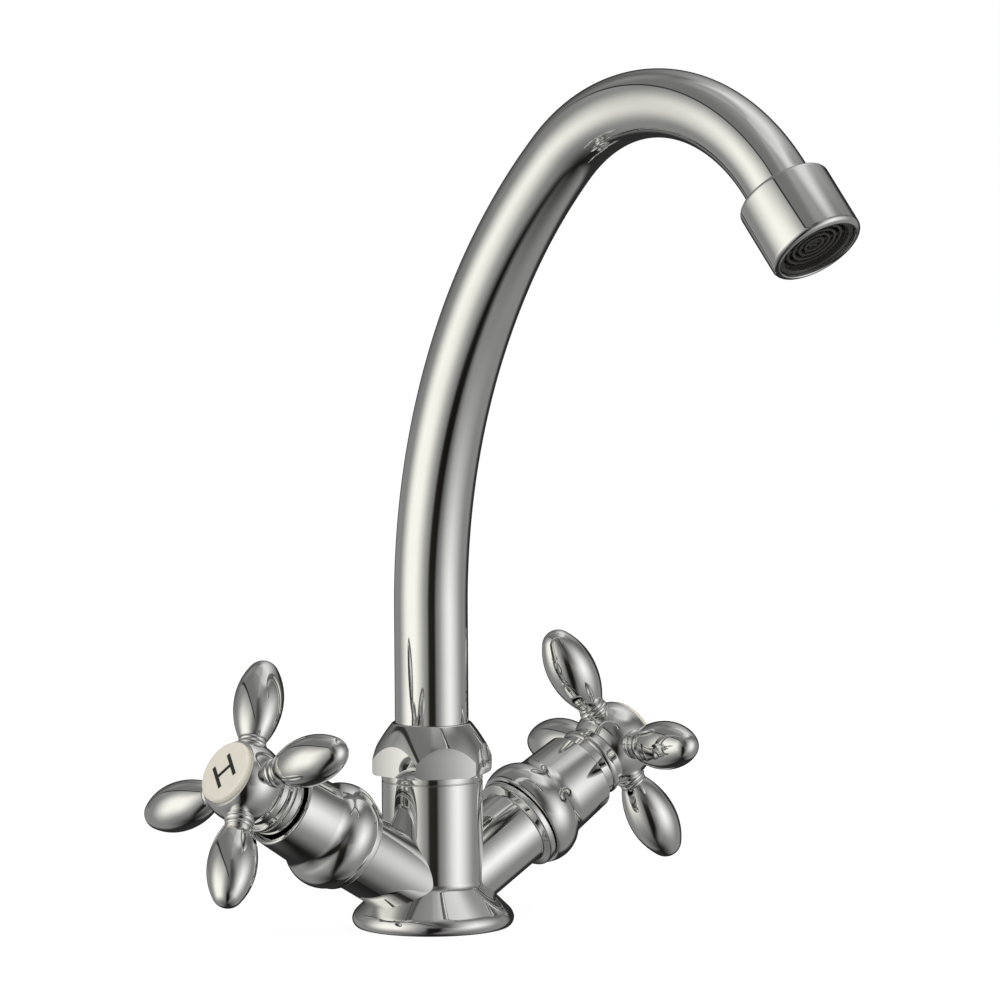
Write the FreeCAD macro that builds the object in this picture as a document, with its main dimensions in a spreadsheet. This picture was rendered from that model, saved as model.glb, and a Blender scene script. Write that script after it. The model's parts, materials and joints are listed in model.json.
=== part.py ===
"""Kitchen mixer with two cross handles and a swivelling gooseneck spout.

The frame is the deck: +Z is up, the origin is the centre of the foot on the deck, -Y is the
front, where the spout points, and +X is the cold side.  All lengths are millimetres.

Each valve is drawn along its own arm: height 0 of its pieces is the point on the mixer's axis
where the two arms meet, and their Z runs out along the arm.  The outlet's pieces are drawn
from the outlet plane back into the spout.
"""
import FreeCAD, Part
import math
import os
import re
import Sketcher

VECTOR = FreeCAD.Vector

# ------------------------------------------------------------------ driving dimensions
SIZES = {
    # foot and stub of the casting
    "foot_radius": 24.2, "foot_edge": 22.7, "foot_rim": 3.0, "foot_round": 1.6,
    "skirt_top": 13.0, "stub_radius": 15.1, "stub_top": 46.0, "bead_height": 1.8,
    "bead_groove": 0.4, "neck_radius": 13.0, "neck_chamfer": 0.6, "neck_top": 54.0,
    "socket_radius": 9.6, "socket_floor": 24.0,
    # holes in the underside
    "inlet_radius": 4.46, "inlet_offset": 8.5, "inlet_front": 3.0, "inlet_depth": 14.5,
    "stud_radius": 3.32, "stud_back": 12.0, "stud_depth": 11.0,
    "seal_inner": 18.0, "seal_outer": 20.6, "seal_depth": 2.0, "seal_play": 0.1,
    # arms of the casting, and the waterways in them
    "arm_angle": 30.0, "arm_height": 9.0, "arm_radius": 12.0, "arm_end": 38.6,
    "arm_ring": 14.6, "arm_ring_start": 35.6, "arm_ring_slope": 0.9,
    "port_radius": 4.5, "port_start": 7.0, "seat_start": 17.0, "seat_bore": 8.6,
    "chamber_start": 21.0, "chamber_radius": 10.4,
    "gallery_radius": 2.8, "gallery_height": 28.8, "gallery_reach": 17.0,
    # valve: headwork
    "nose_start": 18.0, "nose_radius": 8.5, "cavity_radius": 7.5, "cavity_end": 31.2,
    "thread_start": 29.0, "thread_radius": 10.35, "window_start": 26.5, "window_end": 28.7,
    "window_width": 7.0, "hex_start": 39.6, "hex_end": 45.6, "hex_across": 24.0,
    "barrel_radius": 9.9, "barrel_end": 57.5, "stem_bore": 5.05,
    "gasket_inner": 10.5, "gasket_outer": 12.4, "gasket_play": 0.05,
    # valve: seal and ceramic discs
    "seat_seal_inner": 5.0, "disc_radius": 7.4, "disc_thick": 2.95, "fixed_disc_start": 20.05,
    "disc_gap": 0.04, "port_outer": 6.1, "port_inner": 1.9, "port_sweep": 80.0,
    "slot_width": 3.3, "slot_depth": 1.4,
    # valve: spindle
    "stem_radius": 5.0, "flange_radius": 7.0, "flange_start": 28.9, "flange_end": 30.9,
    "neck_stem": 3.2, "tang_width": 3.0, "tang_length": 12.0, "stem_end": 60.0,
    "groove_low": 49.0, "groove_high": 53.0, "groove_radius": 3.5, "groove_width": 2.0,
    "spindle_ring": 4.28, "spindle_ring_cord": 0.74,
    "clip_low": 57.7, "clip_high": 58.5, "clip_groove": 4.2, "clip_outer": 6.4,
    "clip_gap": 60.0, "clip_play": 0.05,
    "spline_end": 79.8, "spline_tip": 3.9, "spline_root": 3.5, "spline_teeth": 20,
    "screw_hole": 2.05, "screw_hole_start": 68.0,
    # shroud over the headwork
    "shroud_start": 38.9, "bulge_round": 9.2, "bulge_centre": 43.2, "bulge_crest": 16.4,
    "bulge_end": 48.6, "cove_round": 7.0, "barrel_start": 52.7, "shroud_waist": 13.3,
    "shroud_mouth": 12.75, "shroud_end": 65.0, "mouth_round": 0.6,
    "shroud_cavity": 14.2, "shroud_cavity_end": 46.2, "shroud_thread": 9.95,
    "shroud_thread_start": 50.0, "shroud_thread_end": 56.0, "mouth_bore": 11.5,
    # cross handle
    "hot_turn": 22.1, "cold_turn": -5.5, "hub_centre": 80.5, "hub_ball": 12.3,
    "hub_start": 60.5, "skirt_radius": 10.5, "hub_ring": 11.1, "ring_low": 68.5,
    "ring_high": 70.6, "hub_neck": 9.9, "hub_front": 86.9,
    "cap_seat": 86.5, "spline_bore": 3.95, "clip_recess": 7.2, "clip_recess_end": 62.5,
    "web_start": 80.0, "web_end": 81.6, "web_hole": 2.2, "screw_recess": 5.6,
    "lobe_plane": 79.7, "lobe_count": 4, "lobe_root": 8.5, "bead_start": 11.6,
    "bead_radius": 4.1, "bead_swell": 1.05, "first_bead_end": 13.3, "second_bead": 3.8,
    "second_bead_end": 14.7, "egg_root": 4.15, "egg_radius": 7.4, "egg_middle": 27.2,
    "egg_tip": 40.9, "tip_round": 4.9,
    # screw and index cap
    "screw_radius": 2.0, "screw_start": 69.0, "screw_head": 3.6, "screw_head_end": 84.0,
    "driver_slot": 0.9, "driver_depth": 1.2,
    "cap_radius": 9.6, "cap_face": 88.6, "cap_round": 0.8, "cap_boss_outer": 5.5,
    "cap_boss_inner": 4.4, "cap_boss_start": 84.4,
    # union nut
    "nut_top": 61.3, "nut_rim": 11.8, "nut_corner": 18.6, "nut_shoulder": 4.2,
    "nut_chamfer": 1.0, "nut_crown": 50.0, "nut_across": 32.0, "nut_turn": 7.2,
    "nut_thread": 13.06, "nut_thread_end": 54.6, "nut_cavity": 13.3, "nut_cavity_end": 58.6,
    "nut_hole": 11.25,
    # foot of the spout
    "ferrule_radius": 9.52, "ferrule_start": 30.0, "ferrule_flange": 12.6,
    "flange_low": 55.0, "flange_high": 57.3, "ferrule_spigot": 9.75, "spigot_end": 66.0,
    "ferrule_bore": 6.4, "ferrule_groove": 7.8, "ferrule_groove_width": 2.8,
    "ferrule_groove_low": 37.0, "ferrule_groove_high": 47.0,
    "spout_ring": 8.7, "spout_ring_cord": 0.87,
    "washer_inner": 9.8, "washer_outer": 12.6, "axial_play": 0.05,
    "glide_inner": 11.1, "glide_outer": 13.0, "glide_low": 57.4, "glide_high": 58.5,
    # spout tube
    "spout_swing": 5.0, "tube_start": 57.35, "tube_radius": 11.0, "tube_wall": 1.2,
    "riser_end": 95.5, "long_bend": 190.0, "long_turn": 45.9, "crook_radius": 10.4,
    "short_bend": 60.5, "outlet_dip": 48.4, "tip_radius": 10.0, "tail_length": 25.8,
    # outlet collar and aerator, measured back from the outlet plane
    "collar_radius": 14.1, "collar_length": 21.3, "collar_round": 1.7, "collar_shoulder": 1.4,
    "collar_break": 0.25, "collar_thread": 12.05, "collar_thread_end": 12.0, "collar_waterway": 8.6,
    "tube_end": 14.0, "tube_socket": 10.05,
    "housing_radius": 12.0, "housing_low": 1.2, "housing_high": 10.8, "housing_bore": 10.9,
    "housing_lip": 10.4, "lip_high": 2.2,
    "grille_radius": 10.8, "grille_low": 2.3, "grille_high": 4.3, "grille_ring": 0.8,
    "grille_pitch": 1.9, "grille_rings": 5, "grille_boss": 1.5, "rib_width": 0.9,
    "core_high": 9.6, "jet_radius": 0.8, "jet_circle": 7.2, "jet_count": 12,
    "screen_radius": 10.6, "screen_high": 10.3, "washer_bore": 8.7, "washer_high": 11.95,
    "stack_play": 0.05,
}

document = FreeCAD.newDocument("kitchen_mixer")
sheet = document.addObject("Spreadsheet::Sheet", "Sizes")
for row, (alias, number) in enumerate(SIZES.items(), start=1):
    sheet.set(f"A{row}", alias)
    sheet.set(f"B{row}", str(number))
    sheet.setAlias(f"B{row}", alias)
document.recompute()

SUB_PARTS = {}


# ------------------------------------------------------------------ shared helpers
def bound(text):
    """Point each size named in an expression at the sheet."""
    return re.sub(r"[a-z_]+", lambda word: f"Sizes.{word[0]}" if word[0] in SIZES else word[0], text)


def value(text):
    """Give the present value of an expression written with size names."""
    return float(sheet.evalExpression(text))


def keep(label, shape_object, place=None):
    """Register a finished object as a sub-part, in its place."""
    shape_object.Label = label
    if place:
        shape_object.setExpression("Placement", bound(place))
    SUB_PARTS[label] = shape_object
    return shape_object


def primitive(kind, place=None, **sizes):
    """Add a Part primitive with its properties bound to expressions."""
    shape_object = document.addObject(f"Part::{kind}", kind)
    for name, text in sizes.items():
        shape_object.setExpression(name, bound(text))
    if place:
        shape_object.setExpression("Placement", bound(place))
    return shape_object


def fuse(*shape_objects):
    """Join solids into one."""
    joined = document.addObject("Part::MultiFuse", "Fuse")
    joined.Shapes = list(shape_objects)
    return joined


def cut(base, tool):
    """Take one solid out of another."""
    result = document.addObject("Part::Cut", "Cut")
    result.Base = base
    result.Tool = tool
    return result


def common(base, tool):
    """Keep what two solids share."""
    result = document.addObject("Part::Common", "Common")
    result.Base = base
    result.Tool = tool
    return result


def origin_feature(body, role):
    """Find one of a body's origin planes or axes."""
    return next(feature for feature in body.Origin.OriginFeatures if feature.Role == role)


def new_sketch(body, name, role="XZ_Plane", offset=None):
    """Attach a sketch to one of its body's origin planes."""
    sketch = body.newObject("Sketcher::SketchObject", name)
    sketch.AttachmentSupport = [(origin_feature(body, role), "")]
    sketch.MapMode = "FlatFace"
    if offset:
        sketch.setExpression("AttachmentOffset", bound(offset))
    return sketch


def arc_between(start, end, radius, turn):
    """Draw the shorter arc from start to end, turning left (+1) or right (-1)."""
    chord = end - start
    reach = math.sqrt(max(radius ** 2 - (chord.Length / 2) ** 2, 0.0))
    left = VECTOR(-chord.y, chord.x, 0) * (1 / chord.Length)
    centre = (start + end) * 0.5 + left * reach * turn
    first, last = (start, end) if turn > 0 else (end, start)
    angles = [math.atan2(point.y - centre.y, point.x - centre.x) for point in (first, last)]
    return Part.ArcOfCircle(Part.Circle(centre, VECTOR(0, 0, 1), radius), *angles)


def pin_point(sketch, edge, end, point):
    """Hold one end of an edge at its two expressions."""
    for direction, axis, text in (("DistanceX", -2, point[0]), ("DistanceY", -1, point[1])):
        if text == "0":
            sketch.addConstraint(Sketcher.Constraint("PointOnObject", edge, end, axis))
            continue
        index = sketch.addConstraint(
            Sketcher.Constraint(direction, -1, 1, edge, end, value(text)))
        sketch.setExpression(f"Constraints[{index}]", bound(text))


def draw(sketch, outline, closed=True):
    """Draw an outline in a sketch.

    Each vertex is (x, y) or (x, y, radius, turn) as expressions: the second form runs to the
    next vertex along an arc, turning left for +1 and right for -1.
    """
    points = [VECTOR(value(vertex[0]), value(vertex[1]), 0) for vertex in outline]
    count = len(outline) if closed else len(outline) - 1
    ends = []
    for index in range(count):
        vertex, start, end = outline[index], points[index], points[(index + 1) % len(points)]
        if len(vertex) == 2:
            edge = sketch.addGeometry(Part.LineSegment(start, end))
            ends.append((edge, 1, 2))
            continue
        edge = sketch.addGeometry(arc_between(start, end, value(vertex[2]), vertex[3]))
        ends.append((edge, 1, 2) if vertex[3] > 0 else (edge, 2, 1))
        radius = sketch.addConstraint(Sketcher.Constraint("Radius", edge, value(vertex[2])))
        sketch.setExpression(f"Constraints[{radius}]", bound(vertex[2]))
    for index, (edge, start, end) in enumerate(ends):
        pin_point(sketch, edge, start, outline[index])
        if closed or index + 1 < count:
            follower, follower_start, _ = ends[(index + 1) % count]
            sketch.addConstraint(
                Sketcher.Constraint("Coincident", edge, end, follower, follower_start))
    if not closed:
        pin_point(sketch, ends[-1][0], ends[-1][2], outline[-1])
    return sketch


def turned(name, outline):
    """Make a body by turning an outline of (radius, height) about its Z axis."""
    body = document.addObject("PartDesign::Body", name)
    sketch = draw(new_sketch(body, f"{name}_outline"), outline)
    revolution = body.newObject("PartDesign::Revolution", f"{name}_turning")
    revolution.Profile = sketch
    revolution.ReferenceAxis = (sketch, ["V_Axis"])
    revolution.Angle = 360
    return body


def band(inner, outer, low, high):
    """Outline of a plain ring, or of a disc if inner is 0."""
    return [(inner, low), (outer, low), (outer, high), (inner, high)]


def arm_frame(side, turn=None):
    """Placement of a piece drawn along an arm, turned about it if asked."""
    tilt = "arm_angle - 90" if side == "hot" else "90 - arm_angle"
    place = f"placement(vector(0; 0; arm_height); rotation(vector(0; 1; 0); {tilt}))"
    return place + (f" * placement(vector(0; 0; 0); rotation(vector(0; 0; 1); {turn}))" if turn else "")


def shift(x="0", y="0", z="0", axis=(0, 0, 1), angle="0"):
    """Placement expression for a move, with a turn about an axis."""
    spin = "; ".join(str(number) for number in axis)
    return f"placement(vector({x}; {y}; {z}); rotation(vector({spin}); {angle}))"


SPOUT_FRAME = shift(angle="spout_swing - 90")
# where the long bend ends, the short bend's centre and end, and the outlet, in the spout's plane
CROOK_X = "(long_bend * (1 - cos(long_turn)))"
CROOK_Z = "(riser_end + long_bend * sin(long_turn))"
SHORT_END_X = f"({CROOK_X} + short_bend * (cos(long_turn) + sin(outlet_dip)))"
SHORT_END_Z = f"({CROOK_Z} - short_bend * (sin(long_turn) - cos(outlet_dip)))"
OUTLET_X = f"({SHORT_END_X} + tail_length * cos(outlet_dip))"
OUTLET_Z = f"({SHORT_END_Z} - tail_length * sin(outlet_dip))"
TUBE_END_X = f"({SHORT_END_X} + (tail_length - tube_end) * cos(outlet_dip))"
TUBE_END_Z = f"({SHORT_END_Z} - (tail_length - tube_end) * sin(outlet_dip))"
OUTLET_FRAME = f"{SPOUT_FRAME} * " + shift(OUTLET_X, "0", OUTLET_Z, (0, 1, 0), "outlet_dip - 90")


# ------------------------------------------------------------------ casting and what seals it
def foot_and_stub():
    """Foot, skirt, stub with its bead, and the threaded neck, in one turning."""
    groove_low = "stub_top - bead_height - bead_groove"
    return turned("foot_and_stub", [
        ("0", "0"), ("foot_edge", "0", "foot_rim", 1), ("foot_radius", "foot_rim"),
        ("foot_radius - foot_round / 3", "foot_rim + foot_round"),
        ("stub_radius", "skirt_top"), ("stub_radius", groove_low),
        ("stub_radius - bead_groove", f"{groove_low} + bead_groove / 2"),
        ("stub_radius", "stub_top - bead_height"), ("stub_radius", "stub_top"),
        ("neck_radius", "stub_top"), ("neck_radius", "neck_top - neck_chamfer"),
        ("neck_radius - neck_chamfer", "neck_top"), ("0", "neck_top")])


def arm(side):
    """One arm, closed at its root and ringed at its open end."""
    body = turned(f"{side}_arm", [
        ("0", "0"), ("arm_radius", "0"), ("arm_radius", "arm_ring_start"),
        ("arm_ring", "arm_ring_start + arm_ring_slope"), ("arm_ring", "arm_end"),
        ("0", "arm_end")])
    body.setExpression("Placement", bound(arm_frame(side)))
    return body


def valve_pocket(side):
    """The stepped bore in an arm: inlet port, seat and threaded chamber."""
    body = turned(f"{side}_pocket", [
        ("0", "port_start"), ("port_radius", "port_start"), ("port_radius", "seat_start"),
        ("seat_bore", "seat_start"), ("seat_bore", "chamber_start"),
        ("chamber_radius", "chamber_start"), ("chamber_radius", "arm_end + 1"),
        ("0", "arm_end + 1")])
    body.setExpression("Placement", bound(arm_frame(side)))
    return body


def make_casting():
    """The body casting: foot, stub and two arms, bored for water, spout, valves and fixing."""
    solid = fuse(foot_and_stub(), arm("hot"), arm("cold"))
    below = primitive("Box", shift("-foot_radius * 2", "-foot_radius * 2", "-foot_radius * 2"),
                      Length="foot_radius * 4", Width="foot_radius * 4", Height="foot_radius * 2")
    socket = primitive("Cylinder", shift(z="socket_floor"),
                       Radius="socket_radius", Height="neck_top")
    gallery = primitive("Cylinder", shift("-gallery_reach", "0", "gallery_height", (0, 1, 0), "90"),
                        Radius="gallery_radius", Height="gallery_reach * 2")
    inlets = [primitive("Cylinder", shift(f"{sign}inlet_offset", "-inlet_front", "-1"),
                        Radius="inlet_radius", Height="inlet_depth + 1") for sign in ("-", "")]
    stud_hole = primitive("Cylinder", shift("0", "stud_back", "-1"),
                          Radius="stud_radius", Height="stud_depth + 1")
    groove = turned("seal_groove", band("seal_inner", "seal_outer", "-1", "seal_depth"))
    hollows = fuse(below, socket, gallery, *inlets, stud_hole, groove,
                   valve_pocket("hot"), valve_pocket("cold"))
    keep("body_casting", cut(solid, hollows))


def make_base_seal():
    """Rubber ring in the groove of the underside."""
    keep("base_seal", turned("base_seal", band("seal_inner + seal_play", "seal_outer - seal_play",
                                               "seal_play / 2", "seal_depth - seal_play")))


# ------------------------------------------------------------------ one valve
def make_seat_seal(side):
    """Rubber ring between the seat in the arm and the fixed disc."""
    keep(f"{side}_seat_seal",
         turned(f"{side}_seat_seal", band("seat_seal_inner", "disc_radius",
                                          "seat_start + stack_play", "fixed_disc_start")),
         arm_frame(side))


def disc_ports(side, turn, low, height):
    """The two sector-shaped openings of a ceramic disc, as a cutting tool."""
    sectors = [primitive("Cylinder", shift(z=low, angle=f"{turn} + {half} - port_sweep / 2"),
                         Radius="port_outer", Height=height, Angle="port_sweep")
               for half in ("0", "180")]
    middle = primitive("Cylinder", shift(z=low), Radius="port_inner", Height=height)
    return cut(fuse(*sectors), middle)


def make_discs(side):
    """The fixed disc, and the moving disc that covers its openings while the valve is shut."""
    height = "disc_thick + 2"
    fixed = primitive("Cylinder", shift(z="fixed_disc_start"),
                      Radius="disc_radius", Height="disc_thick")
    keep(f"{side}_fixed_disc", cut(fixed, disc_ports(side, "0", "fixed_disc_start - 1", height)),
         arm_frame(side))
    start = "fixed_disc_start + disc_thick + disc_gap"
    moving = primitive("Cylinder", shift(z=start), Radius="disc_radius", Height="disc_thick")
    slot = primitive("Box", shift("-disc_radius", "-slot_width / 2",
                                  f"{start} + disc_thick - slot_depth"),
                     Length="disc_radius * 2", Width="slot_width", Height="slot_depth + 1")
    ports = disc_ports(side, "90", f"{start} - 1", height)
    keep(f"{side}_moving_disc", cut(moving, fuse(ports, slot)), arm_frame(side))


def make_headwork(side):
    """Brass valve body: nose, thread, hexagon and the barrel that carries the shroud."""
    hexagon = primitive("Prism", shift(z="hex_start"), Circumradius="hex_across / 2 / cos(30)",
                        Height="hex_end - hex_start")
    blank = turned(f"{side}_headwork_blank", [
        ("cavity_radius", "nose_start"), ("nose_radius", "nose_start"),
        ("nose_radius", "thread_start"), ("thread_radius", "thread_start"),
        ("thread_radius", "hex_start"), ("barrel_radius", "hex_start"),
        ("barrel_radius", "barrel_end"), ("stem_bore", "barrel_end"),
        ("stem_bore", "cavity_end"), ("cavity_radius", "cavity_end")])
    bore = primitive("Cylinder", shift(z="hex_start - 1"), Radius="stem_bore",
                     Height="hex_end - hex_start + 2")
    window = primitive("Box", shift("-nose_radius * 2", "-window_width / 2", "window_start"),
                       Length="nose_radius * 4", Width="window_width",
                       Height="window_end - window_start")
    keep(f"{side}_headwork", cut(fuse(blank, hexagon), fuse(bore, window)), arm_frame(side))


def make_gasket(side):
    """Fibre washer between the arm's end and the hexagon."""
    keep(f"{side}_headwork_gasket",
         turned(f"{side}_gasket", band("gasket_inner", "gasket_outer", "arm_end + gasket_play",
                                       "hex_start - gasket_play")), arm_frame(side))


def spline_prism(side):
    """The toothed end of the spindle, drilled for the handle's screw."""
    teeth = int(value("spline_teeth"))
    corners = []
    for index in range(2 * teeth):
        radius = value("spline_tip") if index % 2 == 0 else value("spline_root")
        angle = math.pi * index / teeth
        corners.append(VECTOR(radius * math.cos(angle), radius * math.sin(angle), 0))
    face = Part.Face(Part.makePolygon(corners + corners[:1]))
    prism = document.addObject("Part::Feature", f"{side}_spline")
    prism.Shape = face.extrude(VECTOR(0, 0, value("spline_end - stem_end + clip_play")))
    prism.Placement = FreeCAD.Placement(VECTOR(0, 0, value("stem_end - clip_play")),
                                        FreeCAD.Rotation())
    return prism


def make_spindle(side):
    """Brass spindle: driving tang, flange, grooved stem and splined end."""
    half = "groove_width / 2"
    stem = turned(f"{side}_stem", [
        ("0", "fixed_disc_start + 2 * disc_thick + disc_gap * 2"),
        ("neck_stem", "fixed_disc_start + 2 * disc_thick + disc_gap * 2"),
        ("neck_stem", "flange_start"), ("flange_radius", "flange_start"),
        ("flange_radius", "flange_end"), ("stem_radius", "flange_end"),
        ("stem_radius", f"groove_low - {half}"), ("groove_radius", f"groove_low - {half}"),
        ("groove_radius", f"groove_low + {half}"), ("stem_radius", f"groove_low + {half}"),
        ("stem_radius", f"groove_high - {half}"), ("groove_radius", f"groove_high - {half}"),
        ("groove_radius", f"groove_high + {half}"), ("stem_radius", f"groove_high + {half}"),
        ("stem_radius", "clip_low - clip_play"), ("clip_groove", "clip_low - clip_play"),
        ("clip_groove", "clip_high + clip_play"), ("stem_radius", "clip_high + clip_play"),
        ("stem_radius", "stem_end"), ("0", "stem_end")])
    tang_low = "fixed_disc_start + 2 * disc_thick + disc_gap - slot_depth + clip_play"
    tang = primitive("Box", shift("-tang_length / 2", "-tang_width / 2", tang_low),
                     Length="tang_length", Width="tang_width",
                     Height=f"flange_start - ({tang_low})")
    hole = primitive("Cylinder", shift(z="screw_hole_start"), Radius="screw_hole",
                     Height="spline_end - screw_hole_start + 1")
    keep(f"{side}_spindle", cut(fuse(stem, tang, spline_prism(side)), hole), arm_frame(side))


def make_spindle_rings(side):
    """The spindle's two O-rings, one node of two solids."""
    rings = [primitive("Torus", shift(z=height), Radius1="spindle_ring",
                       Radius2="spindle_ring_cord") for height in ("groove_low", "groove_high")]
    pair = document.addObject("Part::Compound", f"{side}_rings")
    pair.Links = rings
    keep(f"{side}_spindle_o_rings", pair, arm_frame(side))


def make_clip(side):
    """Open spring clip that keeps the spindle in the headwork."""
    ring = turned(f"{side}_clip_ring",
                  band("clip_groove + clip_play", "clip_outer", "clip_low", "clip_high"))
    gap = primitive("Cylinder", shift(z="clip_low - 1", angle="-clip_gap / 2"),
                    Radius="clip_outer * 2", Height="clip_high - clip_low + 2", Angle="clip_gap")
    keep(f"{side}_spindle_clip", cut(ring, gap), arm_frame(side))


def make_shroud(side):
    """Chromed sleeve: a bulged flange against the arm, a cove, and a tapered barrel."""
    crest = "(bulge_crest - bulge_round)"
    low_x = f"{crest} + sqrt(pow(bulge_round; 2) - pow(bulge_centre - shroud_start; 2))"
    high_x = f"{crest} + sqrt(pow(bulge_round; 2) - pow(bulge_end - bulge_centre; 2))"
    keep(f"{side}_shroud", turned(f"{side}_shroud", [
        ("shroud_cavity", "shroud_start"), (low_x, "shroud_start", "bulge_round", 1),
        (high_x, "bulge_end", "cove_round", -1), ("shroud_waist", "barrel_start"),
        ("shroud_mouth", "shroud_end - mouth_round", "mouth_round", 1),
        ("shroud_mouth - mouth_round", "shroud_end"), ("mouth_bore", "shroud_end"),
        ("mouth_bore", "shroud_thread_end"), ("shroud_thread", "shroud_thread_end"),
        ("shroud_thread", "shroud_thread_start"), ("shroud_cavity", "shroud_cavity_end")]),
         arm_frame(side))


# ------------------------------------------------------------------ one cross handle
def make_handle(side):
    """Ball hub with a collared neck and four egg-shaped lobes, in one casting."""
    body = document.addObject("PartDesign::Body", f"{side}_handle")
    neck_z = "hub_centre - sqrt(pow(hub_ball; 2) - pow(hub_neck; 2))"
    front_x = "sqrt(pow(hub_ball; 2) - pow(hub_front - hub_centre; 2))"
    hub = draw(new_sketch(body, f"{side}_hub_outline"), [
        ("clip_recess", "hub_start"), ("skirt_radius", "hub_start"),
        ("skirt_radius", "ring_low"), ("hub_ring", "ring_low", "ring_high - ring_low", 1),
        ("hub_ring", "ring_high"), ("hub_neck", "ring_high"), ("hub_neck", neck_z, "hub_ball", 1),
        ("hub_ball", "hub_centre", "hub_ball", 1), (front_x, "hub_front"),
        ("cap_radius + seal_play", "hub_front"), ("cap_radius + seal_play", "cap_seat"),
        ("screw_recess", "cap_seat"), ("screw_recess", "web_end"), ("web_hole", "web_end"),
        ("web_hole", "web_start"), ("spline_bore", "web_start"),
        ("spline_bore", "clip_recess_end"), ("clip_recess", "clip_recess_end")])
    turning = body.newObject("PartDesign::Revolution", f"{side}_hub")
    turning.Profile = hub
    turning.ReferenceAxis = (hub, ["V_Axis"])
    turning.Angle = 360

    swell = "(pow(egg_middle - second_bead_end; 2) + pow(egg_radius - egg_root; 2))" \
            " / (2 * (egg_radius - egg_root))"
    # the side arc of the outer half meets the tip's arc where their centres are in line
    reach = "(egg_tip - tip_round - egg_middle)"
    side_arc = f"((pow({reach}; 2) + pow(egg_radius; 2) - pow(tip_round; 2))" \
               " / (2 * (egg_radius - tip_round)))"
    join_x = f"(egg_tip - tip_round + tip_round * {reach} / ({side_arc} - tip_round))"
    join_y = f"(tip_round * ({side_arc} - egg_radius) / ({side_arc} - tip_round))"
    at_plane = "placement(vector(0; lobe_plane; 0); rotation(vector(0; 0; 1); 0))"
    lobe = draw(new_sketch(body, f"{side}_lobe_outline", offset=at_plane), [
        ("lobe_root", "0"), ("lobe_root", "bead_radius"),
        ("bead_start", "bead_radius", "bead_swell", -1), ("first_bead_end", "bead_radius"),
        ("first_bead_end", "second_bead", "bead_swell", -1),
        ("second_bead_end", "second_bead"), ("second_bead_end", "egg_root", swell, -1),
        ("egg_middle", "egg_radius", side_arc, -1), (join_x, join_y, "tip_round", -1),
        ("egg_tip", "0")])
    first = body.newObject("PartDesign::Revolution", f"{side}_lobe")
    first.Profile = lobe
    first.ReferenceAxis = (lobe, ["H_Axis"])
    first.Angle = 360
    document.recompute()
    others = body.newObject("PartDesign::PolarPattern", f"{side}_lobes")
    others.Originals = [first]
    others.Axis = (origin_feature(body, "Z_Axis"), [""])
    others.Angle = 360
    others.Occurrences = int(value("lobe_count"))
    body.Tip = others
    keep(f"{side}_handle", body, arm_frame(side, f"{side}_turn"))


def make_handle_screw(side):
    """Slotted screw that draws the handle on to the spline."""
    blank = turned(f"{side}_screw", [
        ("0", "screw_start"), ("screw_radius", "screw_start"), ("screw_radius", "web_end"),
        ("screw_head", "web_end"), ("screw_head", "screw_head_end - driver_slot"),
        ("screw_head - driver_slot", "screw_head_end"), ("0", "screw_head_end")])
    slot = primitive("Box", shift("-screw_head * 2", "-driver_slot / 2",
                                  "screw_head_end - driver_depth"),
                     Length="screw_head * 4", Width="driver_slot", Height="driver_depth + 1")
    keep(f"{side}_handle_screw", cut(blank, slot), arm_frame(side))


def make_index_cap(side):
    """Pale index button with a rounded edge and a boss that snaps into the hub."""
    keep(f"{side}_index_cap", turned(f"{side}_index_cap", [
        ("0", "cap_seat"), ("cap_boss_inner", "cap_seat"), ("cap_boss_inner", "cap_boss_start"),
        ("cap_boss_outer", "cap_boss_start"), ("cap_boss_outer", "cap_seat"),
        ("cap_radius", "cap_seat"), ("cap_radius", "cap_face - cap_round", "cap_round", 1),
        ("cap_radius - cap_round", "cap_face"), ("0", "cap_face")]), arm_frame(side))


# ------------------------------------------------------------------ spout
def make_union_nut():
    """Crowned nut: a turned bell with six flats that end in arches."""
    low, top = "stub_top", "nut_top"
    bell = turned("nut_bell", [
        ("0", low), ("nut_corner - nut_chamfer", low), ("nut_corner", f"{low} + nut_chamfer"),
        ("nut_corner", f"{low} + nut_shoulder", "nut_crown", 1), ("nut_rim", top), ("0", top)])
    flats = primitive("Prism", shift(z=f"{low} - 1", angle="nut_turn - 30"),
                      Circumradius="nut_across / 2 / cos(30)", Height=f"{top} - {low} + 2")
    bore = turned("nut_bore", [
        ("0", f"{low} - 1"), ("nut_thread", f"{low} - 1"), ("nut_thread", "nut_thread_end"),
        ("nut_cavity", "nut_thread_end"), ("nut_cavity", "nut_cavity_end"),
        ("nut_hole", "nut_cavity_end"), ("nut_hole", f"{top} + 1"), ("0", f"{top} + 1")])
    keep("spout_union_nut", cut(common(bell, flats), bore))


def make_spout_seat():
    """Washer under the ferrule's flange, and the split ring that the nut presses on it."""
    keep("spout_seat_washer", turned("spout_seat_washer", band(
        "washer_inner", "washer_outer", "neck_top + axial_play", "flange_low - axial_play")))
    keep("spout_glide_ring", turned("spout_glide_ring", band(
        "glide_inner", "glide_outer", "glide_low", "glide_high")))


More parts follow.
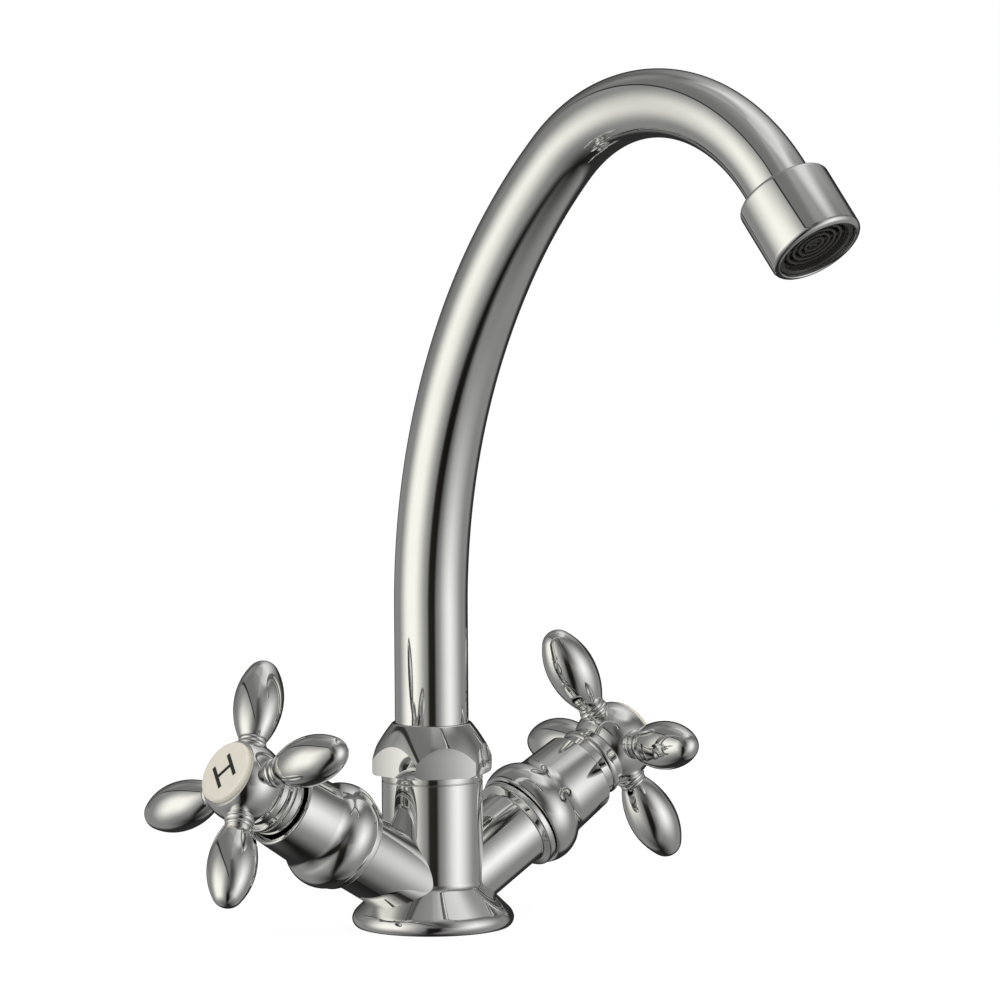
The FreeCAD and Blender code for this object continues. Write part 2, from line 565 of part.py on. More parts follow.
def make_ferrule():
    """Brass foot of the spout, grooved for its O-rings and brazed into the tube."""
    half = "ferrule_groove_width / 2"
    outline = [("ferrule_bore", "ferrule_start"), ("ferrule_radius", "ferrule_start")]
    for groove in ("ferrule_groove_low", "ferrule_groove_high"):
        outline += [("ferrule_radius", f"{groove} - {half}"), ("ferrule_groove", f"{groove} - {half}"),
                    ("ferrule_groove", f"{groove} + {half}"), ("ferrule_radius", f"{groove} + {half}")]
    outline += [("ferrule_radius", "flange_low"), ("ferrule_flange", "flange_low"),
                ("ferrule_flange", "flange_high"), ("ferrule_spigot", "flange_high"),
                ("ferrule_spigot", "spigot_end"), ("ferrule_bore", "spigot_end")]
    keep("spout_ferrule", turned("spout_ferrule", outline), SPOUT_FRAME)


def make_spout_rings():
    """The ferrule's two O-rings, one node of two solids."""
    rings = [primitive("Torus", shift(z=height), Radius1="spout_ring", Radius2="spout_ring_cord")
             for height in ("ferrule_groove_low", "ferrule_groove_high")]
    pair = document.addObject("Part::Compound", "spout_rings")
    pair.Links = rings
    keep("spout_o_rings", pair, SPOUT_FRAME)


def tube_station(body, name, x, z, tilt, radius):
    """A round section of the spout, square to its centre line."""
    sketch = new_sketch(body, name, "XY_Plane", shift(x, "0", z, (0, 1, 0), tilt))
    edge = sketch.addGeometry(Part.Circle(VECTOR(0, 0, 0), VECTOR(0, 0, 1), value(radius)))
    sketch.addConstraint(Sketcher.Constraint("Coincident", edge, 3, -1, 1))
    index = sketch.addConstraint(Sketcher.Constraint("Radius", edge, value(radius)))
    sketch.setExpression(f"Constraints[{index}]", bound(radius))
    return sketch


def swept(body, kind, spine, inset):
    """Sweep the tapering round section along the spine, as metal or as bore."""
    stations = (("0", "tube_start", "0", "tube_radius"), ("0", "riser_end", "0", "tube_radius"),
                (CROOK_X, CROOK_Z, "long_turn", "crook_radius"),
                (SHORT_END_X, SHORT_END_Z, "90 + outlet_dip", "tip_radius"),
                (TUBE_END_X, TUBE_END_Z, "90 + outlet_dip", "tip_radius"))
    sketches = [tube_station(body, f"{kind}_{index}", x, z, tilt, f"{radius}{inset}")
                for index, (x, z, tilt, radius) in enumerate(stations)]
    pipe = body.newObject(f"PartDesign::{kind}", kind)
    pipe.Profile = sketches[0]
    pipe.Spine = (spine, ["Edge1", "Edge2", "Edge3", "Edge4"])
    pipe.Transformation = "Multisection"
    pipe.Sections = [(sketch, [""]) for sketch in sketches[1:]]
    document.recompute()


def make_spout_tube():
    """Drawn tube: a straight riser, a long lean, a tight crook and a short straight tail."""
    body = document.addObject("PartDesign::Body", "spout_tube")
    spine = draw(new_sketch(body, "spout_line"), [
        ("0", "tube_start"), ("0", "riser_end", "long_bend", -1),
        (CROOK_X, CROOK_Z, "short_bend", -1), (SHORT_END_X, SHORT_END_Z),
        (TUBE_END_X, TUBE_END_Z)], closed=False)
    document.recompute()
    swept(body, "AdditivePipe", spine, "")
    swept(body, "SubtractivePipe", spine, " - tube_wall")
    keep("spout_tube", body, SPOUT_FRAME)


def make_outlet_collar():
    """Heavy collar brazed on the tube's end, threaded inside for the aerator."""
    keep("outlet_collar", turned("outlet_collar", [
        ("collar_thread", "collar_break"), ("collar_thread + collar_break", "0"),
        ("collar_radius - collar_round", "0", "collar_round", 1),
        ("collar_radius", "collar_round"),
        ("collar_radius", "collar_length - collar_shoulder", "collar_shoulder", 1),
        ("collar_radius - collar_shoulder", "collar_length"), ("tube_socket", "collar_length"),
        ("tube_socket", "tube_end - stack_play"), ("collar_waterway", "tube_end - stack_play"),
        ("collar_waterway", "collar_thread_end"), ("collar_thread", "collar_thread_end")]),
         OUTLET_FRAME)


def make_aerator():
    """Aerator: threaded housing, ringed grille, jet core, inlet screen and washer."""
    keep("aerator_housing", turned("aerator_housing", [
        ("housing_lip", "housing_low"), ("housing_radius", "housing_low"),
        ("housing_radius", "housing_high"), ("housing_bore", "housing_high"),
        ("housing_bore", "lip_high"), ("housing_lip", "lip_high")]), OUTLET_FRAME)
    make_grille()
    make_core()
    keep("aerator_screen", turned("aerator_screen", band(
        "0", "screen_radius", "core_high + stack_play", "screen_high")), OUTLET_FRAME)
    keep("aerator_washer", turned("aerator_washer", band(
        "washer_bore", "housing_radius - stack_play", "housing_high + stack_play",
        "washer_high")), OUTLET_FRAME)


def make_grille():
    """Outlet grille: rings inside each other, held by two crossing ribs."""
    height = "grille_high - grille_low"
    rings = []
    for number in range(int(value("grille_rings"))):
        outer = f"grille_radius - {number} * grille_pitch"
        rings.append(turned(f"grille_ring_{number + 1}",
                            band(f"{outer} - grille_ring", outer, "grille_low", "grille_high")))
    boss = primitive("Cylinder", shift(z="grille_low"), Radius="grille_boss", Height=height)
    ribs = [primitive("Box", f"{shift(angle=angle)} * " + shift(
        "-grille_radius + grille_ring / 2", "-rib_width / 2", "grille_low + grille_ring"),
        Length="grille_radius * 2 - grille_ring", Width="rib_width",
        Height=f"{height} - grille_ring") for angle in ("0", "60", "120")]
    keep("aerator_grille", fuse(boss, *rings, *ribs), OUTLET_FRAME)


def make_core():
    """Jet core: a disc drilled with a circle of jets."""
    body = document.addObject("PartDesign::Body", "aerator_core")
    disc = draw(new_sketch(body, "core_outline"), [
        ("0", "grille_high + stack_play"), ("grille_radius", "grille_high + stack_play"),
        ("grille_radius", "core_high"), ("0", "core_high")])
    turning = body.newObject("PartDesign::Revolution", "core_disc")
    turning.Profile = disc
    turning.ReferenceAxis = (disc, ["V_Axis"])
    turning.Angle = 360
    circle = new_sketch(body, "jet_outline", "XY_Plane")
    edge = circle.addGeometry(Part.Circle(VECTOR(value("jet_circle"), 0, 0), VECTOR(0, 0, 1),
                                          value("jet_radius")))
    radius = circle.addConstraint(Sketcher.Constraint("Radius", edge, value("jet_radius")))
    circle.setExpression(f"Constraints[{radius}]", bound("jet_radius"))
    pin_point(circle, edge, 3, ("jet_circle", "0"))
    jet = body.newObject("PartDesign::Pocket", "jet")
    jet.Profile = circle
    jet.Type = "ThroughAll"
    jet.Midplane = True
    document.recompute()
    jets = body.newObject("PartDesign::PolarPattern", "jets")
    jets.Originals = [jet]
    jets.Axis = (origin_feature(body, "Z_Axis"), [""])
    jets.Angle = 360
    jets.Occurrences = int(value("jet_count"))
    body.Tip = jets
    keep("aerator_core", body, OUTLET_FRAME)


# ------------------------------------------------------------------ build, check and write
def build():
    """Make every sub-part in the order in which the mixer goes together."""
    make_casting()
    make_base_seal()
    for side in ("hot", "cold"):
        make_seat_seal(side)
        make_discs(side)
        make_headwork(side)
        make_gasket(side)
        make_spindle(side)
        make_spindle_rings(side)
        make_clip(side)
        make_shroud(side)
        make_handle(side)
        make_handle_screw(side)
        make_index_cap(side)
    make_union_nut()
    make_spout_seat()
    make_ferrule()
    make_spout_rings()
    make_spout_tube()
    make_outlet_collar()
    make_aerator()
    document.recompute()


def check():
    """Stop if any object failed or any sub-part has no valid solid."""
    failed = [item.Label for item in document.Objects
              if "Invalid" in item.State or "Error" in item.State]
    if failed:
        raise RuntimeError(f"failed objects: {failed}")
    for label, item in SUB_PARTS.items():
        shape = item.Shape
        if shape.isNull() or not shape.isValid() or not shape.Solids:
            raise RuntimeError(f"{label} has no valid solid")


def write():
    """Write one file for each sub-part, named after it."""
    os.makedirs("parts", exist_ok=True)
    for label, item in SUB_PARTS.items():
        item.Shape.exportStep(f"parts/{label}.step")
        print(f"{label:24s} {len(item.Shape.Solids)} solid(s) {item.Shape.Volume / 1000:9.3f} cm3")


build()
check()
write()
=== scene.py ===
"""Kitchen mixer with two cross handles and a gooseneck spout, dressed around its CAD frame.

Sizes are millimetres until a mesh is made; the meshes are in metres, in the row's frame:
+Z up, the origin at the centre of the foot on the deck, -Y the front, +X the cold side.
"""

import json
import logging
import math
from collections.abc import Sequence
from dataclasses import dataclass, field
from enum import Enum

import bpy
import numpy as np
from mathutils import Matrix, Vector


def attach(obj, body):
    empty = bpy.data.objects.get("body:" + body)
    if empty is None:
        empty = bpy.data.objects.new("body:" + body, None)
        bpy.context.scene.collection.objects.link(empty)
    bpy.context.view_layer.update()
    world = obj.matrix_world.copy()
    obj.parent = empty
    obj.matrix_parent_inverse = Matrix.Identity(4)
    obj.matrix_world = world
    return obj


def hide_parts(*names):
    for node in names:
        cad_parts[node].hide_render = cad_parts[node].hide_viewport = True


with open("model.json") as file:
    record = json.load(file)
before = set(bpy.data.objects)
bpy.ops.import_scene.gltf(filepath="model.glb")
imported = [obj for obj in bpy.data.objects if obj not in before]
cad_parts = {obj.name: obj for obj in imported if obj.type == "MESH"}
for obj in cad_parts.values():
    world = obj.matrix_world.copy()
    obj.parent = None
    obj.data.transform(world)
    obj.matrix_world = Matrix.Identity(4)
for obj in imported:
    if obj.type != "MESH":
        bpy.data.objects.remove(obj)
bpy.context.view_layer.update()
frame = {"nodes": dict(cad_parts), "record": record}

LOG = logging.getLogger("kitchen_mixer")
MM = 0.001
CREASE = math.radians(28)
DEGREES = 180 / math.pi
OFF_SURFACE = 0.05
ARM_RISE = 30.0
ARM_ROOT = 9.0

Point = tuple[float, float]
Colour = tuple[float, float, float]


# ---------------------------------------------------------------------------- named options
class Side(Enum):
    """A side of the mixer: its sign along X, its lobes' turn, its letter and the letter's lean."""

    HOT = (-1, 22.1, "H", 50.0)
    COLD = (1, -5.5, "C", 0.0)

    def __init__(self, sign: int, lobe_turn: float, letter: str, letter_lean: float) -> None:
        """Name the side's values."""
        self.sign = sign
        self.lobe_turn = lobe_turn
        self.letter = letter
        self.letter_lean = letter_lean

    @property
    def label(self) -> str:
        """Name of the side as the nodes spell it."""
        return self.name.lower()

    @property
    def arm(self) -> Matrix:
        """Frame of the side's valve, its Z out along the arm."""
        tilt = Matrix.Rotation(math.radians(90.0 - ARM_RISE) * self.sign, 4, "Y")
        return Matrix.Translation((0, 0, ARM_ROOT)) @ tilt

    @property
    def handle(self) -> Matrix:
        """Frame of the side's handle, its X out along the first lobe."""
        return self.arm @ Matrix.Rotation(math.radians(self.lobe_turn), 4, "Z")


class Slot(Enum):
    """Material slots of the record."""

    CHROME = "chrome"
    BRASS = "brass"
    STEEL = "steel"
    CERAMIC = "ceramic"
    RUBBER = "rubber"
    FIBRE = "fibre"
    IVORY = "ivory"
    ACETAL = "acetal"
    DARK_ACETAL = "dark_acetal"


class Cutting(Enum):
    """How one solid works on another."""

    JOIN = "UNION"
    TAKE_OUT = "DIFFERENCE"
    SHARE = "INTERSECT"


# ---------------------------------------------------------------------------- node graphs
class Graph:
    """A node tree that is filled node by node."""

    prefix = "ShaderNode"

    def __init__(self, tree: bpy.types.NodeTree) -> None:
        """Work on a tree."""
        self.tree = tree

    def fill(self, node: bpy.types.Node, sockets: dict[str | int, object]) -> None:
        """Set a node's inputs to values, or link them to the sockets of other nodes."""
        for name, value in sockets.items():
            if isinstance(value, bpy.types.NodeSocket):
                self.tree.links.new(value, node.inputs[name])
            else:
                node.inputs[name].default_value = value

    def node(self, kind: str, sockets: dict[str | int, object] | None = None,
             **settings: object) -> bpy.types.Node:
        """Add a node.

        Args:
            kind: the node's type, without the prefix that is usual in this tree.
            sockets: what goes into its inputs, by name or number.
            settings: properties of the node.

        Returns:
            The node.
        """
        made = self.tree.nodes.new(kind if kind.startswith(("Shader", "Function"))
                                   else self.prefix + kind)
        for name, value in settings.items():
            setattr(made, name, value)
        self.fill(made, sockets or {})
        return made

    def math(self, operation: str, *values: object) -> bpy.types.NodeSocket:
        """Add a Math node on sockets or numbers and give its result."""
        made = self.node("ShaderNodeMath", dict(enumerate(values)), operation=operation)
        return made.outputs[0]


class ShaderGraph(Graph):
    """The nodes of a material or a world."""

    def blend(self, share: object, first: object, second: object) -> bpy.types.NodeSocket:
        """Mix two shaders, all second where the share is 1."""
        return self.node("MixShader", {0: share, 1: first, 2: second}).outputs[0]

    def paint(self, share: object, first: object, second: object) -> bpy.types.NodeSocket:
        """Mix two colours, all second where the share is 1."""
        made = self.node("Mix", data_type="RGBA")
        self.fill(made, {0: share, 6: first, 7: second})
        return made.outputs[2]

    def edge(self, value: object, half: float, soft: float) -> bpy.types.NodeSocket:
        """Fade from 1 inside a half width to 0 beyond its soft edge."""
        made = self.node("MapRange", {
            "Value": value, "From Min": half - soft / 2, "From Max": half + soft / 2,
            "To Min": 1.0, "To Max": 0.0}, interpolation_type="SMOOTHSTEP")
        return made.outputs["Result"]

    def seen(self) -> bpy.types.NodeSocket:
        """Give 1 to rays from the camera, straight or through clear things, and 0 to others."""
        path = self.node("LightPath").outputs
        return self.math("MAXIMUM", path["Is Camera Ray"], path["Is Transmission Ray"])


# ---------------------------------------------------------------------------- finishes
@dataclass(frozen=True)
class Finish:
    """A surface finish: a colour and a gloss that both wander a little over the piece.

    Attributes:
        name: name of the material.
        colour: base colour.
        wander: share by which the colour lightens and darkens.
        roughness: mean roughness.
        uneven: how far the roughness strays from its mean.
        grain: size of the pattern, in cycles per metre.
        metallic: 1 for metal, 0 for the rest.
        relief: strength of the fine bump.
        coat: strength of a clear coat.
    """

    name: str
    colour: Colour
    wander: float = 0.03
    roughness: float = 0.4
    uneven: float = 0.05
    grain: float = 300.0
    metallic: float = 0.0
    relief: float = 0.0
    coat: float = 0.0

    def material(self) -> bpy.types.Material:
        """Build the material, or give the one that was built before.

        Returns:
            The node material of this finish.
        """
        if self.name in bpy.data.materials:
            return bpy.data.materials[self.name]
        material = bpy.data.materials.new(self.name)
        material.use_nodes = True
        graph = ShaderGraph(material.node_tree)
        place = graph.node("TexCoord").outputs["Object"]
        noise = graph.node("TexNoise", {"Vector": place, "Scale": self.grain,
                                        "Detail": 3.0}).outputs["Fac"]
        ramp = graph.node("ValToRGB", {"Fac": noise})
        stops = zip(ramp.color_ramp.elements, (1 - self.wander, 1 + self.wander), (0.3, 0.7))
        for stop, share, position in stops:
            stop.color = (*(min(channel * share, 1.0) for channel in self.colour), 1.0)
            stop.position = position
        spread = graph.node("MapRange", {
            "Value": noise, "To Min": max(self.roughness - self.uneven, 0.0),
            "To Max": self.roughness + self.uneven})
        shader = material.node_tree.nodes["Principled BSDF"]
        graph.fill(shader, {"Base Color": ramp.outputs["Color"], "Metallic": self.metallic,
                            "Roughness": spread.outputs["Result"], "Coat Weight": self.coat})
        if self.relief:
            bump = graph.node("Bump", {"Height": noise, "Strength": self.relief,
                                       "Distance": 0.1 * MM})
            graph.fill(shader, {"Normal": bump.outputs["Normal"]})
        return material


FINISHES: dict[Slot, Finish] = {
    Slot.CHROME: Finish("polished_chrome", (0.80, 0.80, 0.785), 0.012, 0.035, 0.012, 90.0, 1.0),
    Slot.BRASS: Finish("turned_brass", (0.72, 0.56, 0.28), 0.05, 0.28, 0.06, 400.0, 1.0),
    Slot.STEEL: Finish("bright_steel", (0.62, 0.62, 0.62), 0.04, 0.24, 0.05, 500.0, 1.0),
    Slot.CERAMIC: Finish("lapped_ceramic", (0.86, 0.85, 0.82), 0.02, 0.18, 0.04, 600.0),
    Slot.RUBBER: Finish("black_rubber", (0.03, 0.03, 0.03), 0.1, 0.7, 0.08, 500.0, relief=0.2),
    Slot.FIBRE: Finish("red_fibre", (0.42, 0.13, 0.08), 0.1, 0.8, 0.06, 900.0, relief=0.3),
    Slot.IVORY: Finish("ivory_enamel", (0.73, 0.69, 0.585), 0.015, 0.32, 0.04, 250.0, coat=0.3),
    Slot.ACETAL: Finish("white_acetal", (0.84, 0.84, 0.82), 0.02, 0.4, 0.05, 400.0),
    Slot.DARK_ACETAL: Finish("black_acetal", (0.040, 0.039, 0.034), 0.06, 0.5, 0.05, 400.0),
}
INK = Finish("black_ink", (0.012, 0.012, 0.012), 0.1, 0.45, 0.05, 700.0)


# ---------------------------------------------------------------------------- outlines
class Outline:
    """A profile to be turned, drawn corner by corner as (radius, height) in millimetres."""

    def __init__(self, radius: float, height: float) -> None:
        """Start the outline at a point."""
        self.points: list[Point] = [(radius, height)]
        self._soft: list[tuple[int, float]] = []

    def to(self, radius: float, height: float, soften: float = 0.0) -> "Outline":
        """Run straight to a point.

        Args:
            radius: radius of the point.
            height: height of the point.
            soften: how far the rounding of this corner reaches along each side.

        Returns:
            The outline, for the next step.
        """
        self.points.append((radius, height))
        if soften:
            self._soft.append((len(self.points) - 1, soften))
        return self

    def arc(self, radius: float, height: float, bend: float, turn: int, soften: float = 0.0,
            steps: int = 20) -> "Outline":
        """Run to a point along the shorter arc.

        Args:
            radius: radius of the point.
            height: height of the point.
            bend: radius of the arc itself.
            turn: 1 to turn left on the way, -1 to turn right.
            soften: how far the rounding of the end corner reaches along each side.
            steps: pieces that the arc is cut into.

        Returns:
            The outline, for the next step.
        """
        start, end = Vector(self.points[-1]), Vector((radius, height))
        chord = end - start
        reach = math.sqrt(max(bend ** 2 - (chord.length / 2) ** 2, 0.0))
        centre = (start + end) / 2 + Vector((-chord.y, chord.x)).normalized() * reach * turn
        spoke = start - centre
        sweep = 2 * math.asin(min(chord.length / 2 / bend, 1.0)) * turn
        for step in range(1, steps):
            angle = sweep * step / steps
            turned = Vector((spoke.x * math.cos(angle) - spoke.y * math.sin(angle),
                             spoke.x * math.sin(angle) + spoke.y * math.cos(angle)))
            self.points.append(tuple(centre + turned))
        return self.to(radius, height, soften)

    def _walk(self, index: int, reach: float, step: int) -> tuple[Vector, int]:
        """Find the point at a distance along the outline, and the first corner beyond it."""
        here = Vector(self.points[index])
        while True:
            following = index + step
            there = Vector(self.points[following])
            length = (there - here).length
            if length >= reach:
                return here + (there - here) * (reach / length), following
            reach, here, index = reach - length, there, following

    def softened(self) -> list[Point]:
        """Round the corners that ask for it.

        Returns:
            The corners of the finished outline.
        """
        points = list(self.points)
        for index, reach in reversed(self._soft):
            before, first = self._walk(index, reach, -1)
            after, last = self._walk(index, reach, 1)
            corner = Vector(self.points[index])
            bow = [before.lerp(corner, t).lerp(corner.lerp(after, t), t)
                   for t in (0.0, 0.14, 0.32, 0.5, 0.68, 0.86, 1.0)]
            points[first + 1:last] = [tuple(point) for point in bow]
        return points


@dataclass
class Turning:
    """A solid of revolution about its own Z axis.

    Attributes:
        outline: the outline's points; it is a loop, or starts and ends on the axis.
        place: where the solid stands, in millimetres.
        facets: number of sides round the axis.
    """

    outline: list[Point]
    place: Matrix = field(default_factory=Matrix)
    facets: int = 128

    def mesh(self, name: str) -> bpy.types.Mesh:
        """Turn the outline into a closed mesh in metres.

        Args:
            name: name of the mesh.

        Returns:
            The mesh, with its faces pointing outwards.
        """
        vertices: list[Vector] = []
        rings: list[list[int]] = []
        for radius, height in self.outline:
            first = len(vertices)
            if radius < 1e-6:
                vertices.append(Vector((0, 0, height)))
                rings.append([first] * self.facets)
                continue
            for facet in range(self.facets):
                angle = 2 * math.pi * facet / self.facets
                vertices.append(Vector((radius * math.cos(angle), radius * math.sin(angle),
                                        height)))
            rings.append(list(range(first, first + self.facets)))
        faces = []
        pairs = list(zip(rings, rings[1:]))
        if self.outline[0][0] > 1e-6 or self.outline[-1][0] > 1e-6:
            pairs.append((rings[-1], rings[0]))
        for low, high in pairs:
            for facet in range(self.facets):
                after = (facet + 1) % self.facets
                corners = [low[facet], low[after], high[after], high[facet]]
                corners = [c for i, c in enumerate(corners) if c != corners[i - 1]]
                if len(corners) > 2:
                    faces.append(corners)
        scale = Matrix.Scale(MM, 4) @ self.place
        mesh = bpy.data.meshes.new(name)
        mesh.from_pydata([scale @ vertex for vertex in vertices], [], faces)
        if self._area() < 0:
            mesh.flip_normals()
        return mesh

    def _area(self) -> float:
        """Signed area of the outline, positive if it runs anticlockwise."""
        loop = self.outline + self.outline[:1]
        return sum(a[0] * b[1] - b[0] * a[1] for a, b in zip(loop, loop[1:])) / 2

    def normals(self, spots: np.ndarray, owner: np.ndarray,
                centres: np.ndarray) -> tuple[np.ndarray, np.ndarray]:
        """Give the exact direction that the turned surface faces at some spots.

        Args:
            spots: positions in metres, one row each.
            owner: for each spot, the number of the face that it belongs to.
            centres: the middle of each face.

        Returns:
            The directions, and how far each face's middle lies off the surface, in millimetres.
        """
        line = np.array(self.outline + self.outline[:1])
        start, step = line[:-1], np.diff(line, axis=0)
        length = np.linalg.norm(step, axis=1)
        useful = (length > 1e-6) & ((start[:, 0] > 1e-6) | (line[1:, 0] > 1e-6))
        start, step, length = start[useful], step[useful], length[useful]
        across = np.stack([step[:, 1], -step[:, 0]], axis=1) / length[:, None]
        before, after = np.roll(across, 1, axis=0), np.roll(across, -1, axis=0)
        smooth = math.cos(CREASE)
        first = np.where((across * before).sum(1)[:, None] > smooth, across + before, across)
        second = np.where((across * after).sum(1)[:, None] > smooth, across + after, across)
        back = np.array(self.place.inverted() @ Matrix.Scale(1 / MM, 4))
        middle = self._flat(centres, back)
        along = np.clip(((middle[:, None] - start) * step).sum(2) / length ** 2, 0, 1)
        gap = np.linalg.norm(middle[:, None] - start - along[..., None] * step, axis=2)
        nearest, gap = gap.argmin(axis=1)[owner], gap.min(axis=1)[owner]
        spot = self._flat(spots, back)
        share = ((spot - start[nearest]) * step[nearest]).sum(1) / length[nearest] ** 2
        share = np.clip(share, 0, 1)[:, None]
        flat = first[nearest] * (1 - share) + second[nearest] * share
        local = spots @ back[:3, :3].T + back[:3, 3]
        spoke = local[:, :2] / np.maximum(np.linalg.norm(local[:, :2], axis=1), 1e-9)[:, None]
        solid = np.concatenate([spoke * flat[:, :1], flat[:, 1:]], axis=1)
        solid = solid @ np.array(self.place.to_3x3()).T
        solid /= np.maximum(np.linalg.norm(solid, axis=1), 1e-9)[:, None]
        return solid, gap

    @staticmethod
    def _flat(spots: np.ndarray, back: np.ndarray) -> np.ndarray:
        """Fold spots into the outline's plane, as radius and height."""
        local = spots @ back[:3, :3].T + back[:3, 3]
        return np.stack([np.linalg.norm(local[:, :2], axis=1), local[:, 2]], axis=1)


# ---------------------------------------------------------------------------- mesh helpers
def new_object(name: str, mesh: bpy.types.Mesh) -> bpy.types.Object:
    """Link a mesh to the scene as an object at the origin."""
    made = bpy.data.objects.new(name, mesh)
    bpy.context.scene.collection.objects.link(made)
    return made


def worked_mesh(worked: bpy.types.Object) -> bpy.types.Mesh:
    """Give the plain mesh that an object's modifiers make of it."""
    return bpy.data.meshes.new_from_object(
        worked.evaluated_get(bpy.context.evaluated_depsgraph_get()))


def bake(worked: bpy.types.Object) -> None:
    """Turn an object's modifiers into plain mesh and remove them."""
    plain = worked_mesh(worked)
    worked.modifiers.clear()
    worked.data = plain


def combine(base: bpy.types.Object, tool: bpy.types.Object, cutting: Cutting) -> None:
    """Work one solid on another and remove the tool.

    Args:
        base: the solid that is changed.
        tool: the solid that is used up.
        cutting: join, take out or share.
    """
    modifier = base.modifiers.new("combine", "BOOLEAN")
    modifier.operation = cutting.value
    modifier.solver = "MANIFOLD"
    modifier.object = tool
    bake(base)
    bpy.data.objects.remove(tool)


def read_rows(items: Sequence, name: str) -> np.ndarray:
    """Read a vector of each vertex or face, one row each."""
    values = np.empty(len(items) * 3)
    items.foreach_get(name, values)
    return values.reshape(-1, 3)


def read_numbers(items: Sequence, name: str) -> np.ndarray:
    """Read a whole number of each loop or face."""
    values = np.empty(len(items), dtype=np.int64)
    items.foreach_get(name, values)
    return values


def settle_normals(mesh: bpy.types.Mesh, turnings: Sequence[Turning],
                   cushion: float = 0.0) -> None:
    """Give each curved face of a mesh the exact directions of the turned surface it lies on.

    Args:
        mesh: the finished mesh; a face on none of the turnings keeps its flat direction.
        turnings: the surfaces that the mesh was made from.
        cushion: radius, in millimetres, to which polishing has bowed upright flats.
    """
    mesh.polygons.foreach_set("use_smooth", [True] * len(mesh.polygons))
    spots = read_rows(mesh.vertices, "co")
    corner = read_numbers(mesh.loops, "vertex_index")
    sizes = read_numbers(mesh.polygons, "loop_total")
    centres = read_rows(mesh.polygons, "center")
    owner = np.repeat(np.arange(len(mesh.polygons)), sizes)
    flats = read_rows(mesh.polygons, "normal")[owner]
    result, best = flats.copy(), np.full(len(owner), OFF_SURFACE)
    for turning in turnings:
        facing, gap = turning.normals(spots[corner], owner, centres)
        agree = (facing * flats).sum(1)
        facing = facing * np.where(agree < 0, -1.0, 1.0)[:, None]
        closer = (gap < best) & (np.abs(agree) > 0.9)
        result[closer] = facing[closer]
        best[closer] = gap[closer]
    if cushion:
        upright = (best >= OFF_SURFACE) & (np.abs(flats[:, 2]) < 0.5)
        spot, flat = spots[corner][upright], flats[upright]
        off = spot - flat * (flat * spot).sum(1)[:, None]
        off[:, 2] -= off[:, 2].mean()
        bowed = flat + off / (cushion * MM)
        result[upright] = bowed / np.linalg.norm(bowed, axis=1)[:, None]
    mesh.normals_split_custom_set([tuple(row) for row in result])


def turned_object(name: str, turnings: Sequence[Turning]) -> bpy.types.Object:
    """Make one object of the union of some turnings, with exact normals.

    Args:
        name: name of the object.
        turnings: the solids; one alone is made as it is.

    Returns:
        The finished object.
    """
    made = new_object(name, turnings[0].mesh(name))
    for turning in turnings[1:]:
        combine(made, new_object("tool", turning.mesh("tool")), Cutting.JOIN)
    settle_normals(made.data, turnings)
    return made


def finish_piece(piece: bpy.types.Object, slot: Slot, body: str, *nodes: str,
                 finish: Finish | None = None) -> bpy.types.Object:
    """Give a piece its finish, its body and the CAD nodes it stands for.

    Args:
        piece: the finished object.
        slot: the record's material slot.
        body: the body that it moves with.
        nodes: CAD nodes that it replaces.
        finish: another finish than the slot's own.

    Returns:
        The piece.
    """
    piece.data.materials.clear()
    piece.data.materials.append((finish or FINISHES[slot]).material())
    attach(piece, body)
    if nodes:
        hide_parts(*nodes)
    LOG.info("%s: %d faces on %s", piece.name, len(piece.data.polygons), body)
    return piece


def dress_node(node: str) -> None:
    """Give a CAD node that stays the finish of its slot."""
    slots = {entry["node"]: entry["material_slot"] for entry in frame["record"]["subparts"]}
    cad = frame["nodes"][node]
    cad.data.materials.clear()
    cad.data.materials.append(FINISHES[Slot(slots[node])].material())
    LOG.info("%s: CAD mesh kept", node)


# ---------------------------------------------------------------------------- node trees
class GeometryTree(Graph):
    """A Geometry Nodes tree with named inputs, run once on an object."""

    prefix = "GeometryNode"

    def __init__(self, name: str, inputs: dict[str, str]) -> None:
        """Start a tree with a geometry input and output.

        Args:
            name: name of the tree.
            inputs: kind of each further input, by its name.
        """
        super().__init__(bpy.data.node_groups.new(name, "GeometryNodeTree"))
        face = self.tree.interface
        for way in ("INPUT", "OUTPUT"):
            face.new_socket("Geometry", in_out=way, socket_type="NodeSocketGeometry")
        self.identifiers = {
            label: face.new_socket(label, in_out="INPUT",
                                   socket_type=f"NodeSocket{kind}").identifier
            for label, kind in inputs.items()}
        self.entry = self.tree.nodes.new("NodeGroupInput")
        self.exit = self.tree.nodes.new("NodeGroupOutput")

    def value(self, name: str) -> bpy.types.NodeSocket:
        """Give the socket of a named input."""
        return self.entry.outputs[name]

    def points(self, count: bpy.types.NodeSocket) -> bpy.types.NodeSocket:
        """Add a number of points, all in one place, to set copies on."""
        return self.node("MeshLine", {"Count": count, "Offset": (0, 0, 0)},
                         mode="OFFSET").outputs[0]

    def finish(self, last: bpy.types.NodeSocket, material: bpy.types.Material) -> None:
        """End the tree in Realize Instances and Set Material."""
        real = self.node("RealizeInstances", {"Geometry": last})
        dressed = self.node("SetMaterial", {"Geometry": real.outputs[0], "Material": material})
        self.tree.links.new(dressed.outputs[0], self.exit.inputs[0])

    def attach(self, start: bpy.types.Object, values: dict[str, object]) -> None:
        """Put the tree on an object as a modifier.

        Args:
            start: the object that the tree works on.
            values: values of the named inputs.
        """
        modifier = start.modifiers.new(self.tree.name, "NODES")
        modifier.node_group = self.tree
        for name, value in values.items():
            modifier[self.identifiers[name]] = value


